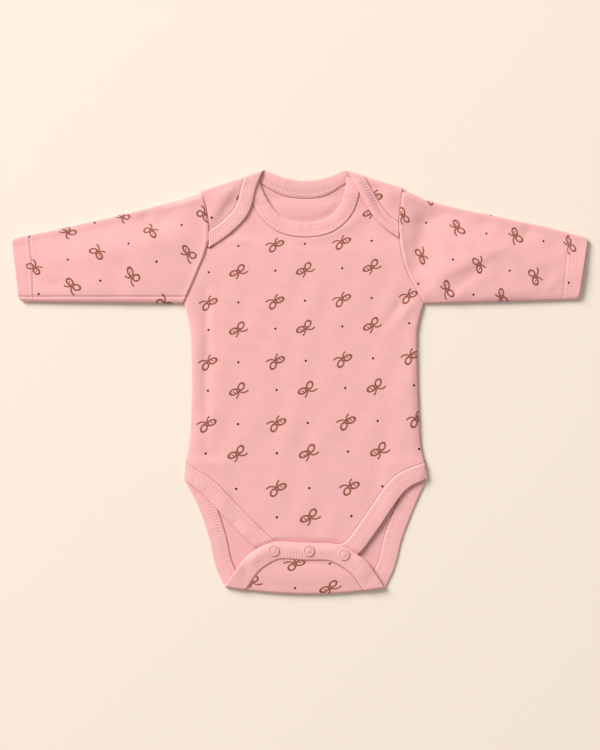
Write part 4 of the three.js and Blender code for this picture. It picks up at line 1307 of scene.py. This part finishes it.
class Sleeve:
    def __init__(self, side, armhole, low, high, droop, stitches, lap_end, seed):
        self.side, self.droop, self.stitches, self.seed = side, droop, stitches, seed
        self.low, self.high = np.array(low, float), np.array(high, float)
        self.armhole = spline(armhole, 0.5)
        self.lap_y = lap_end[1]
        self.length = float(np.linalg.norm(self.place([0.0], [0.5]) - self.place([1.0], [0.5])))

    def place(self, t, w):
        t, w = np.asarray(t, float), np.asarray(w, float)
        at_armhole = respace(self.armhole, np.clip(w, 0, 1) * travelled(self.armhole)[-1])
        at_armhole = at_armhole + (self.side * SEAM_GAP, 0)
        cuff_length = np.linalg.norm(self.high - self.low)
        from_corner = np.minimum(w, 1 - w) * cuff_length
        rounding = CUFF_CORNER * (1 - rounded(from_corner / CUFF_CORNER))
        at_cuff = self.low + (self.high - self.low) * w[:, None]
        at_cuff[:, 0] -= self.side * rounding
        p = at_armhole + (at_cuff - at_armhole) * t[:, None]
        p[:, 1] += w * soft_table(self.droop, t)
        return p

    def width(self, t):
        t = np.asarray(t, float)
        return np.linalg.norm(self.place(t, np.ones(len(t))) - self.place(t, np.zeros(len(t))), axis=1)

    def top(self, t, across):
        """The upper layer's middle surface, across mm from the lower edge."""
        width = self.width(t)
        p = self.place(t, across / width)
        from_high = width - across
        open_cloth = rounded(across / SWELL_FROM_LOW) * ramp(from_high / SWELL_FROM_HIGH)
        to_shoulder = ramp(1 - t / 0.3) * ramp((p[:, 1] - 105) / 50) * ramp(from_high / 4)
        to_cuff = 1 - CUFF_FLATTENING * ramp((t - 0.6) / 0.4)
        body = open_cloth * to_cuff * (0.55 + 0.45 * ramp(t / 0.25))
        height = SLEEVE_CROWN * np.maximum(body, SHOULDER_SWELL * to_shoulder)
        soft = crease_height(SLEEVE_CREASES, p) + SLEEVE_UNEVEN * unevenness(p, self.seed)
        in_from_edges = rounded(across / CREASE_FROM_EDGE) * rounded(from_high / CREASE_FROM_EDGE)
        height = height + UPPER_RIM * hump((from_high - UPPER_RIM_IN) / 3) + soft * in_from_edges

        from_cuff = (1 - t) * self.length
        off_low = ramp(across / 2)
        in_hem = ramp((CUFF_HEM + 0.3 - from_cuff) / 0.8)
        height += HEM_STEP * in_hem * ramp(across / 3) * ramp(from_high / 3)
        height -= HEM_GROOVE * hump((from_cuff - CUFF_HEM - 0.6) / 0.7) * off_low
        for row in self.stitches:
            height -= HEM_STITCH_GROOVE * hump((from_cuff - row) / 0.8) * off_low
        if self.side < 0:
            from_seam = p[:, 1] - SEAM_Y
            height -= UNDERARM_GROOVE * hump(from_seam / 0.7) * off_low
            height += UNDERARM_TUCK * ramp(from_seam / -3) * off_low

        top = BACK_MID + 2 * SLEEVE_RADIUS + height
        from_armhole = np.clip(t * self.length, 0, None)
        ridge = ARMHOLE_RIDGE * hump((from_armhole - ARMHOLE_RIDGE_IN) / 1.3) * open_cloth
        by_lap = ramp((p[:, 1] - self.lap_y + BELOW_LAP_END) / 6)
        beside = BESIDE_BODY + (BESIDE_LAP - BESIDE_BODY) * by_lap
        rolled = 1 - rounded(from_armhole / ARMHOLE_ROLL)
        top = top + ridge - np.maximum(top - beside, 0) * rolled
        return np.column_stack([p, top])


# %% Sleeves
CUFF_STEP = 0.6
SLEEVE_STEP = 1.9
LOW_EDGE, LOW_EDGE_STEP = 9.0, 0.6
ACROSS = 90.0
UNDER_POINTS = 22
ARC_POINTS = 5
CUFF_EDGE_RADIUS = 0.8
THINNEST_END = math.sqrt(0.02)
HEM_THICKER = 0.6


def sleeve_piece(name, sleeve, kinds):
    hem_start = sleeve.length - CUFF_HEM - 3
    along = np.concatenate([
        [0, 0.08, 0.3, 0.7, 1.2, 1.8, 2.5, 3.4],
        np.arange(4.6, hem_start, SLEEVE_STEP),
        np.arange(hem_start, sleeve.length - 0.3, CUFF_STEP),
        [sleeve.length],
    ])
    shares = along / sleeve.length
    r = SLEEVE_RADIUS
    arc_turns = np.linspace(0, math.pi, ARC_POINTS + 2)[1:-1]
    rings, opened = [], []
    for t in shares:
        width = sleeve.width([t])[0]
        low_part = np.arange(r, LOW_EDGE, LOW_EDGE_STEP)
        high_part = np.linspace(LOW_EDGE, width - r, int(round(ACROSS / SLEEVE_STEP)))
        upper = np.concatenate([low_part, high_part])
        under = np.linspace(r, width - r, UNDER_POINTS)
        ends = sleeve.place([t, t], [0, 1])
        way = (ends[1] - ends[0]) / width

        low_height = BACK_MID + 0 * under
        bottom = np.column_stack([sleeve.place(np.full(len(under), t), under / width), low_height])
        top = sleeve.top(np.full(len(upper), t), upper)
        high_r, low_r = (top[-1, 2] - BACK_MID) / 2, (top[0, 2] - BACK_MID) / 2
        round_high = width - r + r * np.sin(arc_turns)
        round_low = r - r * np.sin(arc_turns)
        high_xy = sleeve.place(np.full(len(arc_turns), t), round_high / width)
        low_xy = sleeve.place(np.full(len(arc_turns), t), round_low / width)
        high_arc = np.column_stack([high_xy, BACK_MID + high_r * (1 - np.cos(arc_turns))])
        low_arc = np.column_stack([low_xy, BACK_MID + low_r * (1 + np.cos(arc_turns))])
        rings.append(np.vstack([bottom, high_arc, top[::-1], low_arc]))

        # Opened flat, the tube goes on past its upper edge onto the underside.
        over = width - np.concatenate([under, round_high])
        opened += [ends[1] + way * over[:, None], top[::-1, :2], low_xy]
    around = len(rings[0])
    middle = np.vstack(rings)
    i = np.arange(around)
    strips = []
    for ring_index in range(len(rings) - 1):
        a, b = ring_index * around + i, ring_index * around + (i + 1) % around
        c, d = a + around, b + around
        strips.append(halved(a, c, d, b) if sleeve.side < 0 else halved(a, b, d, c))
    triangles = np.vstack(strips)
    from_cuff = np.repeat(sleeve.length - along, around)
    in_hem = ramp((CUFF_HEM + 0.5 - from_cuff) / 0.6)
    end_round = np.maximum(rounded(from_cuff / CUFF_EDGE_RADIUS), THINNEST_END)
    up = JERSEY / 2 * (0.4 + 0.6 * end_round)
    down = (JERSEY / 2 + HEM_THICKER * in_hem) * end_round
    points, faces, slots = wall(middle, triangles, up, down)
    # The rings nearest the armhole take slot 2, the painted groove shade.
    painted_shade_faces = 2 * PAINTED_SHADE_STRIPS * around
    for start in (0, len(triangles)):
        slots[start:start + painted_shade_faces] = 2
    place = fitted_print(kinds)
    cut = place(middle[:, :2], np.vstack(opened))
    cloths = (jersey_outside, jersey_inside, jersey_painted_shade)
    piece = new_object(name, points, faces, np.vstack([cut, cut]), slots, cloths)
    print(name, "length in mm:", round(sleeve.length, 1), "faces:", len(faces))
    return piece


sleeves = {name: Sleeve(**sizes) for name, sizes in SLEEVES.items()}
sleeve_pieces = {
    name: sleeve_piece("cloth_" + name, sleeve, SLEEVE_MARKS[name])
    for name, sleeve in sleeves.items()
}

# %% [markdown]
# ## Stitches
# Two rows of small stitches hold each binding and each hem. One stitch is modelled once, as
# a flattened ball of thread, and its mesh is repeated along rows of points that lie on the
# cloth. Thousands of separate objects would do the same and make the file slow, so each
# binding gets one joined mesh.

# %% One stitch
THREAD = 0.6
STITCH_LENGTH = 2.0

bpy.ops.object.select_all(action="DESELECT")
bpy.ops.mesh.primitive_uv_sphere_add(segments=6, ring_count=4, radius=0.5)
bpy.ops.object.mode_set(mode="EDIT")
bpy.ops.mesh.select_all(action="SELECT")
bpy.ops.transform.resize(value=(STITCH_LENGTH, THREAD, THREAD * 0.8))
bpy.ops.object.mode_set(mode="OBJECT")
stitch_model = bpy.context.object
stitch_points = np.array([v.co for v in stitch_model.data.vertices])
stitch_faces = []
for polygon in stitch_model.data.polygons:
    ring_of = list(polygon.vertices)
    stitch_faces += [(ring_of[0], ring_of[i], ring_of[i + 1]) for i in range(1, len(ring_of) - 1)]
stitch_faces = np.array(stitch_faces)
bpy.data.objects.remove(stitch_model)
print("one stitch:", len(stitch_points), "points,", len(stitch_faces), "faces")


# %% Rows of stitches
STITCH_LIFT = 0.1


def stitch_row(line, normals, pitch=STITCH_PITCH, across=0.0):
    """Middles, directions and normals of the stitches along a line on the cloth."""
    along = travelled(line)
    count = max(int(along[-1] / pitch), 1)
    places = (np.arange(count) + 0.5) * along[-1] / count
    middles = respace(line, places)
    ahead = unit(respace(line, places + 0.4) - respace(line, places - 0.4))
    up = unit(respace(normals, places, along))
    middles = middles + up * STITCH_LIFT
    side = unit(np.cross(up, ahead))
    if across:
        turn = math.radians(across)
        ahead = unit(ahead * math.cos(turn) + side * math.sin(turn))
        side = unit(np.cross(up, ahead))
    return middles, ahead, side, unit(np.cross(ahead, side))


def stitches(name, rows):
    points, faces, count = [], [], 0
    long, wide, high = stitch_points.T[:, None, :, None]
    for middles, ahead, side, up in rows:
        made = middles[:, None] + long * ahead[:, None] + wide * side[:, None] + high * up[:, None]
        points.append(made.reshape(-1, 3))
        shift = count + np.arange(len(middles))[:, None, None] * len(stitch_points)
        faces.append((stitch_faces[None] + shift).reshape(-1, 3))
        count += len(middles) * len(stitch_points)
    piece = new_object(name, np.vstack(points), np.vstack(faces), materials=(thread,))
    print(name, "stitches:", count // len(stitch_points))
    return piece


def grid_row(grid, columns, row, face):
    """A line along a binding, a few mm in from its seam, and the normals there. The upper
    face of the cut is 0 and its under face is 1."""
    place = np.interp(row, columns, np.arange(len(columns)))
    low = int(place)
    share = place - low
    line = grid[face][:, low] * (1 - share) + grid[face][:, min(low + 1, len(columns) - 1)] * share
    up = unit(grid[face] - grid[1 - face])[:, low]
    return line, up


# %% [markdown]
# ## Where the stitching runs
# A coverstitch shows two even rows on the face of the cloth. On the back neck its other side
# shows between the laps: a ladder of looper thread and a row below it. The rows are read off
# the bindings' own points, so they follow every fold.

# %% All the stitching
BETWEEN_LAPS = 44.0
LADDER_ROW, LADDER_PITCH, LADDER_TURN = 5.4, 1.7, 80.0
LOWER_ROW = 2.4
HEM_LINE_POINTS = 60


def between_laps(grid):
    """The part of the back neck binding that shows its inside."""
    middle = grid[0][:, grid.shape[2] // 2]
    return grid[:, np.abs(middle[:, 0] - BODY_AXIS) < BETWEEN_LAPS]


def band_rows(name, face, rows=BAND_ROWS, part=None, **kinds):
    """Rows of stitches along a binding, or along a part of it."""
    _, grid, columns = bindings[name]
    width = BINDINGS[name][1]
    grid = grid if part is None else part(grid)
    return [stitch_row(*grid_row(grid, columns, width - row, face), **kinds) for row in rows]


def hem_rows(sleeve):
    made = []
    for row in sleeve.stitches:
        t = 1 - row / sleeve.length
        width = sleeve.width([t])[0]
        across = np.linspace(1.0, width - 1.0, HEM_LINE_POINTS)
        line = sleeve.top(np.full(len(across), t), across)
        line[:, 2] += JERSEY / 2
        made.append(stitch_row(line, np.tile([0.0, 0.0, 1.0], (len(line), 1))))
    return made


STITCHING = {
    "neck_front": band_rows("neck_band_front", 0),
    "neck_back": [
        *band_rows("neck_band_back", 1),
        *band_rows("neck_band_back", 0, (LADDER_ROW,), between_laps, pitch=LADDER_PITCH,
                   across=LADDER_TURN),
        *band_rows("neck_band_back", 0, (LOWER_ROW,), between_laps),
    ],
    "legs_front": band_rows("leg_band_front", 0),
    "legs_back": band_rows("leg_band_back", 1) + band_rows("leg_band_back", 0),
    **{name: hem_rows(sleeve) for name, sleeve in sleeves.items()},
}
stitch_pieces = {place: stitches("stitches_" + place, rows) for place, rows in STITCHING.items()}

# %% [markdown]
# ## Snaps
# Three ring snaps close the crotch. A ring snap is a pressed metal ring with teeth, painted
# pink, and the cloth swells up a little inside it. The ring is a torus, flattened in edit
# mode, and the swelling is a flattened ball. Below each, between the two layers, sits the
# socket, which nobody sees while the snaps are done up.

# %% Snaps
SNAPS = [(-23.8, -150.7), (7.8, -150.7), (39.2, -154.3)]
SNAP_RADIUS = 5.2
RING_WIDTH = 1.6
CAP_BASE = TAB_MID - CLOTH / 2 + BINDING + SEAM_GAP
SOCKET_BASE = FRONT_MID - CLOTH / 2 + BINDING + SEAM_GAP
SOCKET_RADIUS = 4.2


def modelled(build, flatten, lift):
    """Runs one operator that adds a shape, flattens and lifts it in edit mode, and returns
    its mesh data as points and faces."""
    bpy.ops.object.select_all(action="DESELECT")
    build()
    bpy.ops.object.mode_set(mode="EDIT")
    bpy.ops.mesh.select_all(action="SELECT")
    bpy.ops.transform.resize(value=(1, 1, flatten))
    bpy.ops.transform.translate(value=(0, 0, lift))
    bpy.ops.mesh.quads_convert_to_tris()
    bpy.ops.object.mode_set(mode="OBJECT")
    shape = bpy.context.object
    points = np.array([v.co for v in shape.data.vertices])
    faces = np.array([list(polygon.vertices) for polygon in shape.data.polygons])
    bpy.data.objects.remove(shape)
    return points, faces


ring_points, ring_faces = modelled(
    lambda: bpy.ops.mesh.primitive_torus_add(
        major_radius=SNAP_RADIUS - RING_WIDTH / 2, minor_radius=RING_WIDTH / 2,
        major_segments=40, minor_segments=12),
    flatten=0.5, lift=0.45)
puff_points, puff_faces = modelled(
    lambda: bpy.ops.mesh.primitive_uv_sphere_add(
        segments=32, ring_count=12, radius=SNAP_RADIUS - RING_WIDTH + 0.2),
    flatten=0.2, lift=0.1)
socket_points, socket_faces = modelled(
    lambda: bpy.ops.mesh.primitive_cylinder_add(
        vertices=32, radius=SOCKET_RADIUS, depth=SOCKET_HEIGHT, end_fill_type="TRIFAN"),
    flatten=1.0, lift=SOCKET_HEIGHT / 2)

snap_pieces = []
for number, (x, y) in enumerate(SNAPS, start=1):
    at_cap, at_socket = (x, y, CAP_BASE), (x, y, SOCKET_BASE)
    both = np.vstack([ring_points, puff_points]) + at_cap
    faces = np.vstack([ring_faces, puff_faces + len(ring_points)])
    cap = new_object(f"snap_ring_{number}", both, faces, materials=(enamel,))
    socket = new_object(f"snap_base_{number}", socket_points + at_socket, socket_faces, materials=(enamel,))
    snap_pieces.append((number, cap, socket))
print("snap ring faces:", len(ring_faces), "swelling faces:", len(puff_faces))

# %% [markdown]
# ## Which piece stands for which solid
# Each piece rides on the one body, and all but the stitches replace a plain solid, which is
# hidden. The back and its two bindings are folded, and the other cloth pieces lie flat.

# %% Pieces and the solids they stand for
def stand_for(piece, node):
    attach(piece, "root")
    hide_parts(node)


stand_for(front, "front_panel")
stand_for(back, "back_panel")
for name, (piece, _, _) in bindings.items():
    stand_for(piece, name.replace("band", "binding"))
for name, piece in sleeve_pieces.items():
    stand_for(piece, name)
for number, cap, socket in snap_pieces:
    stand_for(cap, f"snap_cap_{number}")
    stand_for(socket, f"snap_socket_{number}")
for place, piece in stitch_pieces.items():
    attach(piece, "root")

# %% [markdown]
# ## Light, floor and camera
# The bodysuit lies on a plain cream floor and the camera looks straight down. One soft light
# comes from the upper left, low enough for the creases to show, and the world fills the
# shadows. The light's size matters more than its power: a small light would draw each
# crease as a hard line.

# %% The stage
bpy.ops.mesh.primitive_plane_add(size=40, location=(0, 0, 0))
floor = bpy.context.object
floor.name = "floor"
floor.data.materials.append(plain("floor_cream", FLOOR_CREAM, 0.9))

world = bpy.data.worlds.new("studio")
bpy.context.scene.world = world
world.use_nodes = True
world.node_tree.nodes["Background"].inputs["Color"].default_value = (1.0, 0.985, 0.97, 1.0)
world.node_tree.nodes["Background"].inputs["Strength"].default_value = 0.4

WINDOW_DISTANCE = 9.0
WINDOW_FROM = Vector((-0.64, 0.6, 0.5)).normalized()
window_data = bpy.data.lights.new("window", "AREA")
window_data.shape = "DISK"
window_data.size = 4.8
window_data.energy = 1090.0
window_data.color = (1.0, 0.99, 0.97)
window = bpy.data.objects.new("window", window_data)
bpy.context.scene.collection.objects.link(window)
window.location = WINDOW_FROM * WINDOW_DISTANCE
window.rotation_mode = "QUATERNION"
window.rotation_quaternion = WINDOW_FROM.to_track_quat("Z", "Y")

# The plain view transform shows a colour as it was mixed, so the pink is the pink above.
bpy.context.scene.view_settings.view_transform = "Standard"

camera_data = bpy.data.cameras.new("camera")
camera_data.lens = 85
camera_data.sensor_width = 36
camera_data.clip_end = 20
camera = bpy.data.objects.new("camera", camera_data)
bpy.context.scene.collection.objects.link(camera)
camera.location = (0, 0.00675, 1.594)
bpy.context.scene.camera = camera
